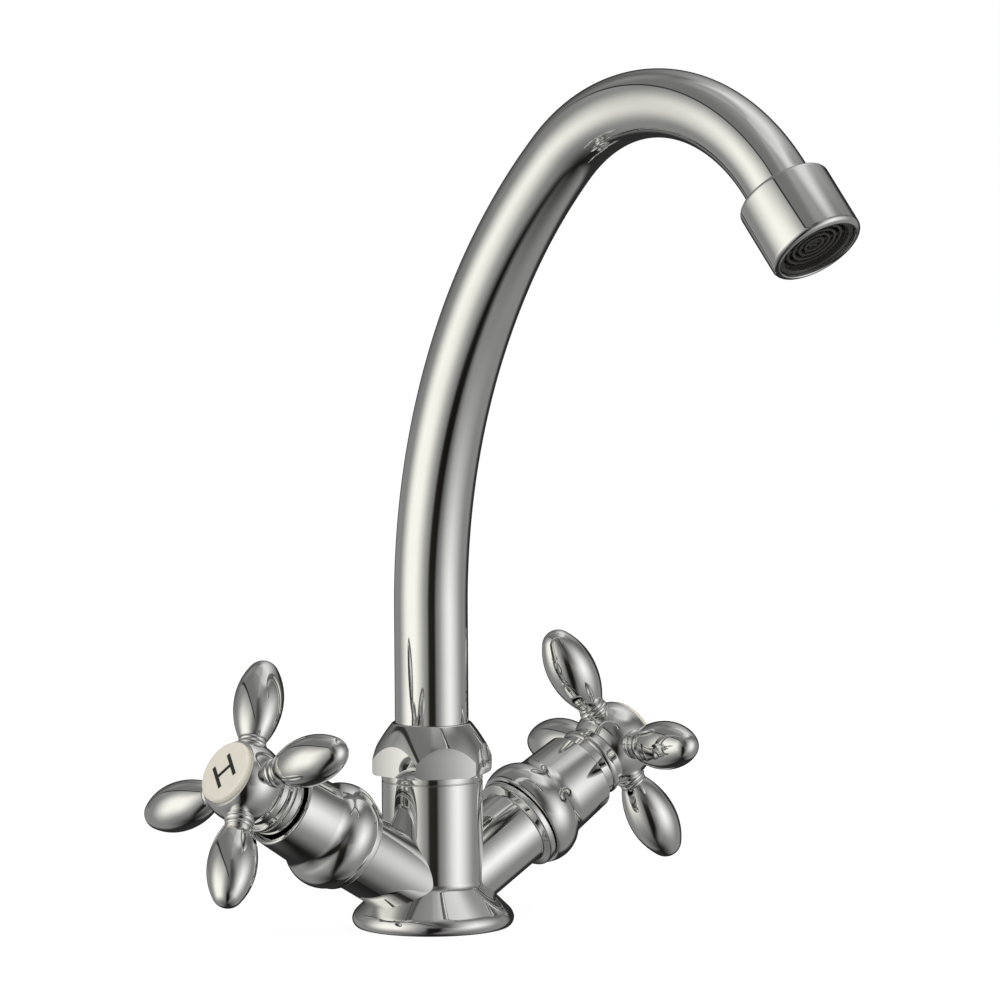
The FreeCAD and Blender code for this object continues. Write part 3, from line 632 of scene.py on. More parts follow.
# ---------------------------------------------------------------------------- the casting
@dataclass
class Casting:
    """Foot, stub and two arms in one chromed casting, bored for water, spout and valves."""

    foot_radius: float = 24.2
    stub_radius: float = 15.1
    stub_top: float = 46.0
    neck_radius: float = 13.0
    neck_top: float = 54.0
    arm_radius: float = 12.0
    arm_ring: float = 14.6
    arm_end: float = 38.6
    seal_inner: float = 18.0
    seal_outer: float = 20.6
    seal_depth: float = 2.0
    stub_line: float = 44.0

    def core(self) -> Turning:
        """Foot with its seal groove, stub with a fine line round it, and threaded neck."""
        line = Outline(0, 0).to(self.seal_inner, 0, 0.15).to(self.seal_inner, self.seal_depth)
        line.to(self.seal_outer, self.seal_depth).to(self.seal_outer, 0, 0.15)
        line.to(22.7, 0, 0.4).arc(self.foot_radius, 3.0, 3.0, 1, steps=10)
        line.to(23.67, 4.6, 0.9).to(self.stub_radius, 13.0, 1.2)
        line.to(self.stub_radius, self.stub_line - 0.2, 0.12)
        line.to(self.stub_radius - 0.4, self.stub_line, 0.08)
        line.to(self.stub_radius, self.stub_line + 0.2, 0.12)
        line.to(self.stub_radius, self.stub_top, 0.3).to(self.neck_radius, self.stub_top)
        line.to(self.neck_radius, self.neck_top - 0.6).to(self.neck_radius - 0.6, self.neck_top)
        line.to(0, self.neck_top)
        return Turning(line.softened(), facets=160)

    def arm(self, side: Side) -> Turning:
        """Outline of one arm and the ring at its end."""
        line = Outline(0, 0).to(self.arm_radius, 0).to(self.arm_radius, 35.6, 0.5)
        line.to(self.arm_ring, 36.5, 0.5).to(self.arm_ring, self.arm_end, 0.35)
        line.to(0, self.arm_end)
        return Turning(line.softened(), side.arm)

    def pocket(self, side: Side) -> Turning:
        """Stepped bore of one arm."""
        line = Outline(0, 7).to(4.5, 7).to(4.5, 17).to(8.6, 17).to(8.6, 21).to(10.4, 21)
        line.to(10.4, 39.6).to(0, 39.6)
        return Turning(line.points, side.arm, 64)

    def bores(self) -> list[Turning]:
        """The spout's socket, the two inlets and the fixing hole."""
        socket = Turning([(0, 24), (9.6, 24), (9.6, 55), (0, 55)], facets=64)
        holes = [Turning([(0, -1), (radius, -1), (radius, depth), (0, depth)],
                         Matrix.Translation(spot), 48)
                 for radius, depth, spot in ((4.46, 14.5, (-8.5, -3, 0)),
                                             (4.46, 14.5, (8.5, -3, 0)), (3.32, 11, (0, 12, 0)))]
        return [socket, *holes, self.pocket(Side.HOT), self.pocket(Side.COLD)]

    def build(self) -> None:
        """Make the casting and dress the seal in its foot."""
        solids = [self.core(), self.arm(Side.HOT), self.arm(Side.COLD)]
        made = turned_object("mixer_casting", solids)
        below = Turning([(0, -40), (60, -40), (60, 0), (0, 0)], facets=16)
        for bore in (below, *self.bores()):
            combine(made, new_object("tool", bore.mesh("tool")), Cutting.TAKE_OUT)
        settle_normals(made.data, [*solids, *self.bores()])
        finish_piece(made, Slot.CHROME, "mixer_body", "body_casting")
        dress_node("base_seal")


# ---------------------------------------------------------------------------- one valve
@dataclass
class Valve:
    """The valve in one arm, and the chromed shroud over it."""

    side: Side
    start: float = 38.9
    crest: float = 16.4
    bulge: float = 9.2
    end: float = 65.0
    crest_at: float = 43.2
    cove_from: float = 48.6
    cove_to: float = 52.7
    skirt: float = 14.2
    bore: float = 9.95

    def shroud_outline(self) -> list[Point]:
        """Outline of the shroud: bulge, cove and tapered barrel outside, stepped inside."""
        centre = self.crest - self.bulge
        low = centre + math.sqrt(self.bulge ** 2 - (self.crest_at - self.start) ** 2)
        high = centre + math.sqrt(self.bulge ** 2 - (self.cove_from - self.crest_at) ** 2)
        line = Outline(self.skirt, self.start).to(low, self.start, 0.25)
        line.arc(high, self.cove_from, self.bulge, 1).arc(13.3, self.cove_to, 7.0, -1)
        line.to(12.75, self.end - 0.6).arc(12.15, self.end, 0.6, 1, steps=8)
        line.to(11.5, self.end, 0.2).to(11.5, 56).to(self.bore, 56).to(self.bore, 50)
        line.to(self.skirt, 46.2)
        return line.softened()

    def build(self) -> None:
        """Make the shroud and dress the valve's own pieces."""
        label = self.side.label
        shroud = turned_object(f"{label}_valve_shroud",
                               [Turning(self.shroud_outline(), self.side.arm)])
        finish_piece(shroud, Slot.CHROME, "mixer_body", f"{label}_shroud")
        for part in ("seat_seal", "fixed_disc", "moving_disc", "headwork", "headwork_gasket",
                     "spindle", "spindle_o_rings", "spindle_clip"):
            dress_node(f"{label}_{part}")


# ---------------------------------------------------------------------------- one handle
@dataclass
class CrossHandle:
    """Ball hub on a collared neck, four egg-shaped lobes, a screw and an index cap."""

    side: Side
    lobes: int = 4
    ball: float = 12.3
    skirt: float = 10.5
    ring: float = 11.1
    neck: float = 9.9
    ball_height: float = 80.5
    lobe_height: float = 79.7
    egg_middle: float = 27.2
    egg_radius: float = 7.4
    tip: float = 40.9
    tip_round: float = 4.9
    cap_radius: float = 9.6
    cap_face: float = 88.6
    letter_height: float = 9.0
    capital: float = 0.7
    ink: float = 0.03

    def hub(self) -> Turning:
        """Outline of the hub, hollow for the spindle, the screw and the cap."""
        front = 86.9
        low = self.ball_height - math.sqrt(self.ball ** 2 - self.neck ** 2)
        high = math.sqrt(self.ball ** 2 - (front - self.ball_height) ** 2)
        line = Outline(7.2, 60.5).to(self.skirt, 60.5, 0.3).to(self.skirt, 68.5, 0.2)
        line.arc(self.ring, 70.6, 2.1, 1, 0.3, 8).to(self.neck, 70.6, 0.2)
        line.to(self.neck, low, 0.35)
        line.arc(self.ball, self.ball_height, self.ball, 1, steps=24)
        line.arc(high, front, self.ball, 1, 0.12, 16).to(9.7, front, 0.1).to(9.7, 86.5)
        line.to(5.6, 86.5).to(5.6, 81.6).to(2.2, 81.6).to(2.2, 80).to(3.95, 80)
        line.to(3.95, 62.5).to(7.2, 62.5)
        return Turning(line.softened(), self.side.handle)

    def lobe_outline(self) -> list[Point]:
        """Outline of a lobe along its own axis: two beads, then the egg."""
        root, bead, second = 4.15, 4.1, 3.8
        reach = self.tip - self.tip_round - self.egg_middle
        side_arc = ((reach ** 2 + self.egg_radius ** 2 - self.tip_round ** 2)
                    / (2 * (self.egg_radius - self.tip_round)))
        share = self.tip_round / (side_arc - self.tip_round)
        join = (share * (side_arc - self.egg_radius), self.tip - self.tip_round + share * reach)
        swell = (((self.egg_middle - 14.7) ** 2 + (self.egg_radius - root) ** 2)
                 / (2 * (self.egg_radius - root)))
        line = Outline(0, 8.5).to(bead, 8.5).to(bead, 11.6).arc(bead, 13.3, 1.05, 1, steps=12)
        line.to(second, 13.3).arc(second, 14.7, 0.85, 1, steps=12).to(root, 14.7)
        line.arc(self.egg_radius, self.egg_middle, swell, 1, steps=26)
        line.arc(*join, side_arc, 1, steps=18).arc(0, self.tip, self.tip_round, 1, steps=22)
        return line.softened()

    def lobe(self, number: int) -> Turning:
        """One lobe in its place."""
        around = Matrix.Rotation(2 * math.pi * number / self.lobes, 4, "Z")
        lift = Matrix.Translation((0, 0, self.lobe_height))
        lay = Matrix.Rotation(math.pi / 2, 4, "Y")
        return Turning(self.lobe_outline(), self.side.handle @ lift @ around @ lay, 72)

    def cross_tree(self) -> GeometryTree:
        """Tree that sets copies of a lobe round the hub and joins them to it."""
        tree = GeometryTree("cross_of_lobes", {"Hub": "Object", "Lobes": "Int",
                                               "Middle": "Vector", "Axis": "Vector"})
        copies = tree.node("InstanceOnPoints", {"Points": tree.points(tree.value("Lobes")),
                                                "Instance": tree.value("Geometry")})
        share = tree.math("DIVIDE", tree.node("InputIndex").outputs[0], tree.value("Lobes"))
        spin = tree.node("FunctionNodeAxisAngleToRotation", {
            "Axis": tree.value("Axis"), "Angle": tree.math("MULTIPLY", share, 2 * math.pi)})
        turned = tree.node("RotateInstances", {
            "Instances": copies.outputs[0], "Rotation": spin.outputs[0],
            "Pivot Point": tree.value("Middle"), "Local Space": False})
        real = tree.node("RealizeInstances", {"Geometry": turned.outputs[0]})
        hub = tree.node("ObjectInfo", {"Object": tree.value("Hub")})
        union = tree.node("MeshBoolean", operation="UNION", solver="MANIFOLD")
        tree.tree.links.new(hub.outputs["Geometry"], union.inputs["Mesh 2"])
        tree.tree.links.new(real.outputs[0], union.inputs["Mesh 2"])
        tree.finish(union.outputs["Mesh"], FINISHES[Slot.CHROME].material())
        return tree

    def cross(self) -> bpy.types.Object:
        """Make the hub and its lobes as one closed mesh."""
        hub = new_object("hub_blank", self.hub().mesh("hub_blank"))
        made = new_object(f"{self.side.label}_cross_handle", self.lobe(0).mesh("lobe"))
        axis = self.side.handle.to_3x3() @ Vector((0, 0, 1))
        middle = self.side.handle @ Vector((0, 0, self.lobe_height)) * MM
        self.cross_tree().attach(made, {"Hub": hub, "Lobes": self.lobes, "Middle": middle,
                                        "Axis": axis})
        bake(made)
        bpy.data.objects.remove(hub)
        settle_normals(made.data, [self.hub(), *(self.lobe(n) for n in range(self.lobes))])
        return made

    def cap(self) -> bpy.types.Object:
        """Make the index cap with its rounded edge and its boss."""
        line = Outline(0, 86.5).to(4.4, 86.5).to(4.4, 84.4).to(5.5, 84.4).to(5.5, 86.5)
        line.to(self.cap_radius, 86.5).to(self.cap_radius, self.cap_face - 0.8)
        line.arc(self.cap_radius - 0.8, self.cap_face, 0.8, 1, steps=10).to(0, self.cap_face)
        return turned_object(f"{self.side.label}_index_button",
                             [Turning(line.softened(), self.side.arm)])

    def letter(self) -> bpy.types.Object:
        """Make the printed letter, a hair above the cap, leaning from the top of the tap."""
        text = bpy.data.curves.new("letter", "FONT")
        text.body = self.side.letter
        text.align_x, text.align_y = "CENTER", "CENTER"
        text.size = self.letter_height / self.capital
        text.extrude = self.ink
        text.resolution_u = 8
        carrier = new_object(f"{self.side.label}_index_letter", text)
        mesh = bpy.data.meshes.new_from_object(carrier)
        bpy.data.objects.remove(carrier)
        xs, ys = zip(*((v.co.x, v.co.y) for v in mesh.vertices))
        centre = Matrix.Translation((-(min(xs) + max(xs)) / 2, -(min(ys) + max(ys)) / 2, 0))
        turn = self.side.letter_lean + 90 * self.side.sign
        upright = Matrix.Rotation(math.radians(turn), 4, "Z")
        lift = Matrix.Translation((0, 0, self.cap_face + self.ink))
        mesh.transform(Matrix.Scale(MM, 4) @ self.side.arm @ lift @ upright @ centre)
        return new_object(f"{self.side.label}_index_letter", mesh)

    def build(self) -> None:
        """Make the handle, its cap and the letter, and dress the screw."""
        label = self.side.label
        body = f"{label}_handle"
        finish_piece(self.cross(), Slot.CHROME, body, f"{label}_handle")
        finish_piece(self.cap(), Slot.IVORY, body, f"{label}_index_cap")
        finish_piece(self.letter(), Slot.IVORY, body, finish=INK)
        dress_node(f"{label}_handle_screw")


# ---------------------------------------------------------------------------- the spout
@dataclass
class UnionNut:
    """Crowned nut that holds the spout down."""

    low: float = 46.0
    top: float = 61.3
    rim: float = 11.8
    corner: float = 18.6
    shoulder: float = 4.2
    across: float = 32.0
    turn: float = 7.2
    cushion: float = 90.0

    def build(self) -> None:
        """Cut six flats on a turned bell and bore it."""
        line = Outline(0, self.low).to(self.corner - 1.0, self.low)
        line.to(self.corner, self.low + 1.0, 0.3).to(self.corner, self.low + self.shoulder, 0.4)
        line.arc(self.rim, self.top, 50.0, 1, 0.35, 24).to(0, self.top)
        bell = Turning(line.softened(), facets=180)
        bore_line = Outline(0, 45).to(13.06, 45).to(13.06, 54.6).to(13.3, 54.6).to(13.3, 58.6)
        bore = Turning(bore_line.to(11.25, 58.6).to(11.25, 62).to(0, 62).points, facets=96)
        around = Matrix.Rotation(math.radians(self.turn - 30), 4, "Z")
        corner = self.across / 2 / math.cos(math.pi / 6)
        flats = Turning([(0, self.low - 1), (corner, self.low - 1), (corner, self.top + 1),
                         (0, self.top + 1)], around, 6)
        made = new_object("spout_crowned_nut", bell.mesh("nut"))
        combine(made, new_object("tool", flats.mesh("tool")), Cutting.SHARE)
        combine(made, new_object("tool", bore.mesh("tool")), Cutting.TAKE_OUT)
        settle_normals(made.data, [bell, bore], self.cushion)
        finish_piece(made, Slot.CHROME, "mixer_body", "spout_union_nut")


@dataclass
class Spout:
    """The gooseneck tube: a riser, a long lean, a tight crook and a short straight tail."""

    swing: float = 5.0
    start: float = 57.35
    riser_end: float = 95.5
    long_bend: float = 190.0
    long_turn: float = 45.9
    short_bend: float = 60.5
    dip: float = 48.4
    tail: float = 25.8
    tube_end: float = 14.0
    wall: float = 1.2
    facets: int = 96
    widths: tuple[Point, ...] = ((0.0, 11.0), (38.2, 11.0), (127.0, 10.9), (165.0, 10.6),
                                 (190.4, 10.36), (236.0, 9.95), (272.0, 9.9), (299.8, 10.0))

    @property
    def place(self) -> Matrix:
        """Frame of the spout, its X out over the sink."""
        return Matrix.Rotation(math.radians(self.swing - 90), 4, "Z")

    @property
    def crook(self) -> Vector:
        """Where the long bend meets the short one."""
        turn = math.radians(self.long_turn)
        return Vector((self.long_bend * (1 - math.cos(turn)), 0,
                       self.riser_end + self.long_bend * math.sin(turn)))

    @property
    def short_end(self) -> Vector:
        """Where the short bend meets the tail."""
        turn, dip = math.radians(self.long_turn), math.radians(self.dip)
        return self.crook + self.short_bend * Vector((
            math.cos(turn) + math.sin(dip), 0, math.cos(dip) - math.sin(turn)))

    @property
    def downhill(self) -> Vector:
        """Direction of the tail."""
        dip = math.radians(self.dip)
        return Vector((math.cos(dip), 0, -math.sin(dip)))

    @property
    def outlet(self) -> Matrix:
        """Frame of the outlet, its Z back up the tail."""
        spot = self.short_end + self.downhill * self.tail
        return (self.place @ Matrix.Translation(spot)
                @ Matrix.Rotation(math.radians(self.dip - 90), 4, "Y"))

    def line(self) -> list[Vector]:
        """Points of the tube's centre line."""
        points = [Vector((0, 0, self.start + (self.riser_end - self.start) * n / 6))
                  for n in range(6)]
        for bend, first, last, centre in (
                (self.long_bend, 0.0, self.long_turn, Vector((self.long_bend, 0, self.riser_end))),
                (self.short_bend, self.long_turn, 90 + self.dip, None)):
            if centre is None:
                turn = math.radians(self.long_turn)
                centre = self.crook + self.short_bend * Vector((math.cos(turn), 0,
                                                                -math.sin(turn)))
            steps = round((last - first) / (0.8 if bend > 100 else 1.5))
            for step in range(steps):
                angle = math.radians(first + (last - first) * step / steps)
                points.append(centre + bend * Vector((-math.cos(angle), 0, math.sin(angle))))
        end = self.tail - self.tube_end
        points += [self.short_end + self.downhill * (end * n / 4) for n in range(5)]
        return points

    def radius_at(self, length: float) -> float:
        """Outer radius at a length along the centre line, smooth from station to station."""
        stations, radii = zip(*self.widths)
        slopes = [(b - a) / (t - s) for s, t, a, b in
                  zip(stations, stations[1:], radii, radii[1:])]
        tangents = [slopes[0]] + [
            0.0 if p * q <= 0 else 2 * p * q / (p + q) for p, q in zip(slopes, slopes[1:])
        ] + [slopes[-1]]
        at = max(n for n in range(len(slopes)) if length >= stations[n] or n == 0)
        span = stations[at + 1] - stations[at]
        t = min(max((length - stations[at]) / span, 0.0), 1.0)
        rise = 3 * t ** 2 - 2 * t ** 3
        leave, arrive = t ** 3 - 2 * t ** 2 + t, t ** 3 - t ** 2
        return (radii[at] * (1 - rise) + radii[at + 1] * rise
                + span * (tangents[at] * leave + tangents[at + 1] * arrive))

    def curve(self) -> bpy.types.Object:
        """Make the centre line as a curve whose points carry the tube's radius."""
        points = self.line()
        data = bpy.data.curves.new("spout_line", "CURVE")
        data.dimensions = "3D"
        spline = data.splines.new("POLY")
        spline.points.add(len(points) - 1)
        length, before = 0.0, points[0]
        for point, spot in zip(points, spline.points):
            length += (point - before).length
            before = point
            spot.co = (*(self.place @ point * MM), 1.0)
            spot.radius = self.radius_at(length) * MM
        return new_object("spout_gooseneck", data)

    def tube_tree(self) -> GeometryTree:
        """Tree that sweeps a ring along the line, outer wall and bore, and closes the ends."""
        tree = GeometryTree("drawn_tube", {"Wall": "Float", "Facets": "Int"})
        radius = tree.node("InputRadius").outputs[0]
        thin = tree.node("SetCurveRadius", {
            "Curve": tree.value("Geometry"),
            "Radius": tree.math("SUBTRACT", radius, tree.value("Wall"))})
        ring = tree.node("CurvePrimitiveCircle", {"Resolution": tree.value("Facets"),
                                                  "Radius": 1.0})
        walls = [tree.node("CurveToMesh", {
            "Curve": line, "Profile Curve": ring.outputs[0], "Scale": radius,
            "Fill Caps": True}) for line in (tree.value("Geometry"), thin.outputs[0])]
        pipe = tree.node("MeshBoolean", operation="DIFFERENCE", solver="MANIFOLD")
        tree.tree.links.new(walls[0].outputs[0], pipe.inputs["Mesh 1"])
        tree.tree.links.new(walls[1].outputs[0], pipe.inputs["Mesh 2"])
        tree.finish(pipe.outputs["Mesh"], FINISHES[Slot.CHROME].material())
        return tree

    def build(self) -> None:
        """Make the tube and dress the ferrule's pieces."""
        made = self.curve()
        self.tube_tree().attach(made, {"Wall": self.wall * MM, "Facets": self.facets})
        mesh, name = worked_mesh(made), made.name
        bpy.data.objects.remove(made)
        mesh.polygons.foreach_set("use_smooth", [True] * len(mesh.polygons))
        mesh.set_sharp_from_angle(angle=CREASE)
        finish_piece(new_object(name, mesh), Slot.CHROME, "spout", "spout_tube")
        for node in ("spout_ferrule", "spout_o_rings", "spout_seat_washer", "spout_glide_ring"):
            dress_node(node)


@dataclass
class Outlet:
    """Heavy collar on the spout's end, with the aerator in it."""

    place: Matrix
    radius: float = 14.1
    length: float = 21.3
    shoulder: float = 1.4
    rings: int = 5
    ring_pitch: float = 1.9
    ring_width: float = 0.8
    grille_radius: float = 10.8
    grille_low: float = 2.3
    grille_high: float = 4.3
    ribs: int = 3
    rib_width: float = 0.9

    def collar(self) -> bpy.types.Object:
        """Make the collar."""
        line = Outline(12.05, 0.25).to(12.3, 0, 0.06)
        line.to(self.radius - 1.7, 0).arc(self.radius, 1.7, 1.7, 1, steps=12)
        line.to(self.radius, self.length - self.shoulder)
        line.arc(self.radius - self.shoulder, self.length, self.shoulder, 1, steps=10)
        line.to(10.05, self.length, 0.1).to(10.05, 13.95).to(8.6, 13.95).to(8.6, 12).to(12.05, 12)
        return turned_object("spout_outlet_collar", [Turning(line.softened(), self.place)])

    def housing(self) -> bpy.types.Object:
        """Make the aerator's threaded ring."""
        line = Outline(10.4, 1.2).to(12.0, 1.2, 0.3).to(12.0, 10.8).to(10.9, 10.8)
        line.to(10.9, 2.2).to(10.4, 2.2)
        return turned_object("outlet_aerator_ring", [Turning(line.softened(), self.place)])

    def grille_tree(self) -> GeometryTree:
        """Tree that sets rings inside each other and crosses them with ribs."""
        tree = GeometryTree("ringed_grille", {
            "Rings": "Int", "Pitch": "Float", "Outer": "Float", "Width": "Float",
            "Height": "Float", "Ribs": "Int", "Rib Width": "Float"})
        index = tree.node("InputIndex").outputs[0]
        middle = tree.math("SUBTRACT", tree.value("Outer"),
                           tree.math("MULTIPLY", tree.value("Width"), 0.5))
        reach = tree.math("SUBTRACT", middle, tree.math("MULTIPLY", index, tree.value("Pitch")))
        circle = tree.node("CurvePrimitiveCircle", {"Resolution": 72, "Radius": 1.0})
        size = tree.node("ShaderNodeCombineXYZ", {"X": reach, "Y": reach, "Z": 1.0})
        circles = tree.node("InstanceOnPoints", {
            "Points": tree.points(tree.value("Rings")), "Instance": circle.outputs[0],
            "Scale": size.outputs[0]})
        real = tree.node("RealizeInstances", {"Geometry": circles.outputs[0]})
        even = tree.node("SetCurveRadius", {"Curve": real.outputs[0], "Radius": 1.0})
        band = tree.node("CurvePrimitiveQuadrilateral", {
            "Width": tree.value("Width"), "Height": tree.value("Height")}, mode="RECTANGLE")
        swept = tree.node("CurveToMesh", {"Curve": even.outputs[0],
                                          "Profile Curve": band.outputs[0]})
        box = tree.node("ShaderNodeCombineXYZ", {
            "X": tree.math("MULTIPLY", middle, 2.0), "Y": tree.value("Rib Width"),
            "Z": tree.math("MULTIPLY", tree.value("Height"), 0.6)})
        rib = tree.node("MeshCube", {"Size": box.outputs[0]})
        step = tree.math("DIVIDE", math.pi, tree.value("Ribs"))
        spin = tree.node("ShaderNodeCombineXYZ", {"Z": tree.math("MULTIPLY", index, step)})
        ribs = tree.node("InstanceOnPoints", {
            "Points": tree.points(tree.value("Ribs")), "Instance": rib.outputs[0],
            "Rotation": spin.outputs[0]})
        both = tree.node("JoinGeometry")
        tree.tree.links.new(ribs.outputs[0], both.inputs[0])
        tree.tree.links.new(swept.outputs[0], both.inputs[0])
        tree.finish(both.outputs[0], FINISHES[Slot.DARK_ACETAL].material())
        return tree

    def grille(self) -> bpy.types.Object:
        """Make the grille of the outlet."""
        made = new_object("outlet_ringed_grille", bpy.data.meshes.new("grille"))
        self.grille_tree().attach(made, {
            "Rings": self.rings, "Pitch": self.ring_pitch * MM,
            "Outer": self.grille_radius * MM, "Width": self.ring_width * MM,
            "Height": (self.grille_high - self.grille_low) * MM, "Ribs": self.ribs,
            "Rib Width": self.rib_width * MM})
        bake(made)
        middle = Matrix.Translation((0, 0, (self.grille_low + self.grille_high) / 2))
        made.data.transform(Matrix.Scale(MM, 4) @ self.place @ middle @ Matrix.Scale(1 / MM, 4))
        made.data.set_sharp_from_angle(angle=CREASE)
        return made

    def build(self) -> None:
        """Make the collar, the ring and the grille, and dress what lies behind them."""
        finish_piece(self.collar(), Slot.CHROME, "spout", "outlet_collar")
        finish_piece(self.housing(), Slot.DARK_ACETAL, "spout", "aerator_housing")
        finish_piece(self.grille(), Slot.DARK_ACETAL, "spout", "aerator_grille")
        for node in ("aerator_core", "aerator_screen", "aerator_washer"):
            dress_node(node)


# ---------------------------------------------------------------------------- the studio
@dataclass(frozen=True)
class Card:
    """A soft-edged light or dark card in the studio, as polished metal sees it.

    Attributes:
        across: bearing of its middle in degrees, 0 towards the camera, to the right positive.
        half_width: half of its width in degrees.
        level: how bright it is, where 1 is white.
        up: height of its middle above the horizon, in degrees.
        half_height: half of its height in degrees.
        soft: width of its fading edges at the sides.
        soft_up: width of its fading edges above and below.
        lean: degrees that it drifts to the right for each degree of height.
        tint: its colour.
    """

    across: float
    half_width: float
    level: float
    up: float = 0.0
    half_height: float = 90.0
    soft: float = 12.0
    soft_up: float = 20.0
    lean: float = 0.0
    tint: Colour = (1.0, 1.0, 1.0)


@dataclass(frozen=True)
class Seam:
    """The straight top edge of the key panel: a thin dark line with plain wall above it.

    Attributes:
        across: bearing at which the edge stands highest, in degrees.
        up: its height there, in degrees.
        reach: how far it runs to each side, in degrees.
        width: half of the line's width in degrees.
        line: how bright the line is, where 1 is white.
        above: how bright the wall above it is.
        soft: width of the line's fading edges.
        start: width of the edge at which the wall above it starts.
        fade: degrees over which both ends of the seam fade.
        wall: how far the wall above it reaches, in degrees.
        wall_fade: degrees over which that wall fades.
    """

    across: float
    up: float
    reach: float = 68.0
    width: float = 1.6
    line: float = 0.035
    above: float = 0.2
    soft: float = 1.6
    start: float = 2.0
    fade: float = 20.0
    wall: float = 34.0
    wall_fade: float = 52.0


@dataclass(frozen=True)
class Lamp:
    """A soft square lamp, bearings and heights as for a card, size in metres, power in watts."""

    name: str
    across: float
    up: float
    size: float
    power: float


@dataclass
class Studio:
    """Floor, lamps, cards and the camera at the photograph's angle.

    The cards' places and levels were fitted to the photograph's reflections by a separate
    script, rounded and then changed by eye.
    """

    azimuth: float = 38.1
    elevation: float = 5.7
    roll: float = 0.37
    distance: float = 2.379
    focal: float = 286.5
    aim: tuple[float, float] = (0.01996, 0.12714)
    wall: float = 0.28
    warm: Colour = (1.0, 0.99, 0.92)
    shade: Colour = (1.15, 1.0, 0.7)
    cards: tuple[Card, ...] = (
        Card(0, 181, 0.42, up=90, half_height=26.5, soft_up=22),
        Card(239, 59, 0.93, up=61, half_height=16.5, soft=42, soft_up=53, lean=-1.86),
        Card(32, 18, 0.075, up=26, half_height=28, soft=34, soft_up=7, lean=-0.7),
        Card(122, 32, 0.13, up=38, half_height=17, soft=42, soft_up=21, lean=-0.7),
        Card(-152, 15, 0.09, up=28, half_height=28, soft=60, soft_up=9, lean=-0.2),
        Card(-64, 31, 1.16, up=0, half_height=32, soft=45, soft_up=47, lean=0.12, tint=warm),
        Card(62, 23, 1.22, up=2, half_height=25, soft=58, soft_up=61, lean=0.2),
        Card(2.5, 11.5, 0.02, up=-20, half_height=29, soft=10, soft_up=34, lean=0.05,
             tint=shade),
        Card(19, 16, 0.006, up=-53, half_height=38, soft=34, soft_up=72, lean=0.44),
        Card(169, 33, 0.03, up=-38, half_height=57, soft=20, soft_up=13, lean=-0.15),
        Card(0, 181, 0.012, up=-90, half_height=21, soft_up=44))
    seam: Seam = Seam(-68, 49)

    lamps: tuple[Lamp, ...] = (Lamp("key_lamp", 50, 55, 1.2, 14.0),
                               Lamp("fill_lamp", -70, 40, 1.4, 9.0))
    lamp_reach: float = 1.8
    floor_reach: float = 9.0
    floor_grey: float = 0.85
    floor_glow: float = 1.155
    floor_glow_share: float = 0.76
    matt_light: float = 0.6

    def direction(self, across: float, up: float) -> Vector:
        """Direction from the tap at a bearing off the camera and a height, both in degrees."""
        bearing, height = math.radians(self.azimuth - across), math.radians(up)
        return Vector((-math.sin(bearing) * math.cos(height),
                       -math.cos(bearing) * math.cos(height), math.sin(height)))

    def camera(self) -> None:
        """Stand the camera where the photograph was taken."""
        back, right = self.direction(0, self.elevation), self.direction(90, 0)
        up = back.cross(right)
        roll = math.radians(self.roll)
        leaned = right * math.cos(roll) - up * math.sin(roll)
        upright = up * math.cos(roll) + right * math.sin(roll)
        target = leaned * self.aim[0] + upright * self.aim[1]
        data = bpy.data.cameras.new("camera")
        data.lens, data.sensor_width = self.focal, 36.0
        data.clip_start, data.clip_end = 0.1, 60.0
        made = bpy.data.objects.new("camera", data)
        bpy.context.scene.collection.objects.link(made)
        pose = Matrix((leaned, upright, back)).transposed().to_4x4()
        made.matrix_world = Matrix.Translation(target + back * self.distance) @ pose
        bpy.context.scene.camera = made

    def floor(self) -> None:
        """Lay the pale floor: nearly white to the camera, with the soft shadow on it.

        Polished metal doesn't see it, and shows the lower half of its own studio instead.
        """
        mesh = bpy.data.meshes.new("studio_floor")
        turns = [2 * math.pi * n / 96 for n in range(96)]
        rim = [(self.floor_reach * math.cos(turn), self.floor_reach * math.sin(turn), 0)
               for turn in turns]
        mesh.from_pydata(rim, [], [list(range(len(rim)))])
        made = new_object("studio_floor", mesh)
        material = bpy.data.materials.new("pale_floor")
        material.use_nodes = True
        material.node_tree.nodes.clear()
        graph = ShaderGraph(material.node_tree)
        lit = graph.node("BsdfDiffuse", {"Color": (*[self.floor_grey] * 3, 1)}).outputs[0]
        glow = graph.node("Emission", {"Color": (1, 1, 1, 1), "Strength": self.floor_glow})
        both = graph.blend(self.floor_glow_share, lit, glow.outputs[0])
        graph.node("OutputMaterial", {"Surface": graph.blend(graph.seen(), lit, both)})
        mesh.materials.append(material)
        made.visible_glossy = False

    def hang(self, lamp: Lamp) -> None:
        """Hang a lamp so that it faces the tap, out of sight of camera and metal."""
        spot = self.direction(lamp.across, lamp.up) * self.lamp_reach
        data = bpy.data.lights.new(lamp.name, "AREA")
        data.size, data.energy = lamp.size, lamp.power
        made = bpy.data.objects.new(lamp.name, data)
        made.visible_glossy = False
        made.visible_camera = False
        made.matrix_world = (Matrix.Translation(spot)
                             @ spot.to_track_quat("Z", "Y").to_matrix().to_4x4())
        bpy.context.scene.collection.objects.link(made)

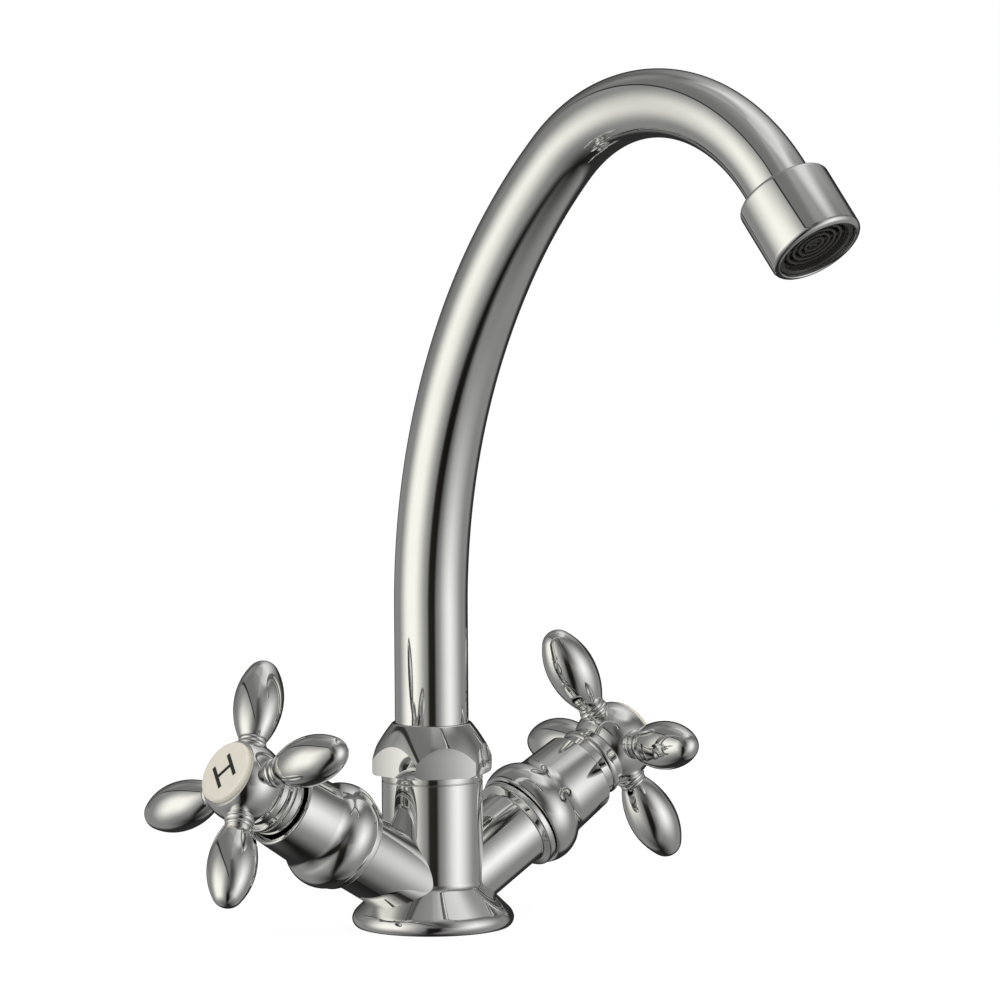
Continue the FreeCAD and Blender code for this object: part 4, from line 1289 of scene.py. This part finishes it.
    def reflected(self, graph: ShaderGraph) -> bpy.types.NodeSocket:
        """Paint what polished metal sees in place of the white background.

        It is a grey wall, the cards before it and the seam.

        Args:
            graph: the world's nodes.

        Returns:
            The colour in every direction.
        """
        way = graph.node("TexCoord").outputs["Generated"]
        split = graph.node("SeparateXYZ", {0: way}).outputs
        turn = graph.math("ARCTAN2", split["X"], graph.math("MULTIPLY", split["Y"], -1.0))
        across = graph.math("ADD", graph.math("MULTIPLY", turn, DEGREES), self.azimuth)
        up = graph.math("MULTIPLY", graph.math("ARCSINE", split["Z"]), DEGREES)

        def distance(value: bpy.types.NodeSocket, middle: object) -> bpy.types.NodeSocket:
            """How far a height is from a middle, either way."""
            return graph.math("ABSOLUTE", graph.math("SUBTRACT", value, middle))

        def beside(middle: object) -> bpy.types.NodeSocket:
            """How far the bearing is from a middle, either way round."""
            apart = graph.math("SUBTRACT", across, middle)
            return graph.math("ABSOLUTE", graph.math("WRAP", apart, 180.0, -180.0))

        colour = graph.node("RGB").outputs[0]
        colour.default_value = (*[self.wall] * 3, 1)
        for card in self.cards:
            middle = graph.math("MULTIPLY_ADD", up, card.lean, card.across)
            mask = graph.math(
                "MULTIPLY", graph.edge(beside(middle), card.half_width, card.soft),
                graph.edge(distance(up, card.up), card.half_height, card.soft_up))
            tinted = [card.level * channel for channel in card.tint]
            colour = graph.paint(mask, colour, (*tinted, 1))
        seam = self.seam
        pole = self.direction(seam.across, 90 + seam.up)
        facing = graph.node("VectorMath", {0: way, 1: pole}, operation="DOT_PRODUCT")
        lift = graph.math("MULTIPLY", graph.math("ARCSINE", facing.outputs["Value"]), DEGREES)
        along = graph.edge(beside(seam.across), seam.reach, seam.fade)
        start = graph.edge(graph.math("MULTIPLY", lift, -1.0), 0.0, seam.start)
        plain = graph.math("MULTIPLY", start, graph.edge(lift, seam.wall, seam.wall_fade))
        line = graph.edge(graph.math("ABSOLUTE", lift), seam.width, seam.soft)
        for mask, shade in ((plain, seam.above), (line, seam.line)):
            colour = graph.paint(graph.math("MULTIPLY", mask, along), colour, (*[shade] * 3, 1))
        return colour

    def world(self) -> None:
        """Build the world: white to the camera and through clear things.

        Polished metal sees neither that white nor the floor, but a studio of its own that
        stands still in the room: a grey wall with light and dark cards. Matt surfaces get plain
        even light.
        """
        world = bpy.data.worlds.new("studio")
        bpy.context.scene.world = world
        world.use_nodes = True
        world.node_tree.nodes.clear()
        graph = ShaderGraph(world.node_tree)
        shine = graph.node("Background", {"Color": self.reflected(graph)}).outputs[0]
        plain = graph.node("Background", {"Color": (*[self.matt_light] * 3, 1)}).outputs[0]
        white = graph.node("Background", {"Color": (1, 1, 1, 1)}).outputs[0]
        glossy = graph.node("LightPath").outputs["Is Glossy Ray"]
        lit = graph.blend(glossy, plain, shine)
        graph.node("OutputWorld", {"Surface": graph.blend(graph.seen(), lit, white)})

    def build(self) -> None:
        """Set up the whole studio."""
        self.camera()
        self.floor()
        for lamp in self.lamps:
            self.hang(lamp)
        self.world()
        bpy.context.scene.view_settings.view_transform = "Standard"


def main() -> None:
    """Build every sub-assembly in order, then the studio."""
    logging.basicConfig(level=logging.INFO, format="%(message)s")
    Casting().build()
    for side in Side:
        Valve(side).build()
        CrossHandle(side).build()
    UnionNut().build()
    spout = Spout()
    spout.build()
    Outlet(spout.outlet).build()
    Studio().build()


if __name__ == "__main__":
    main()
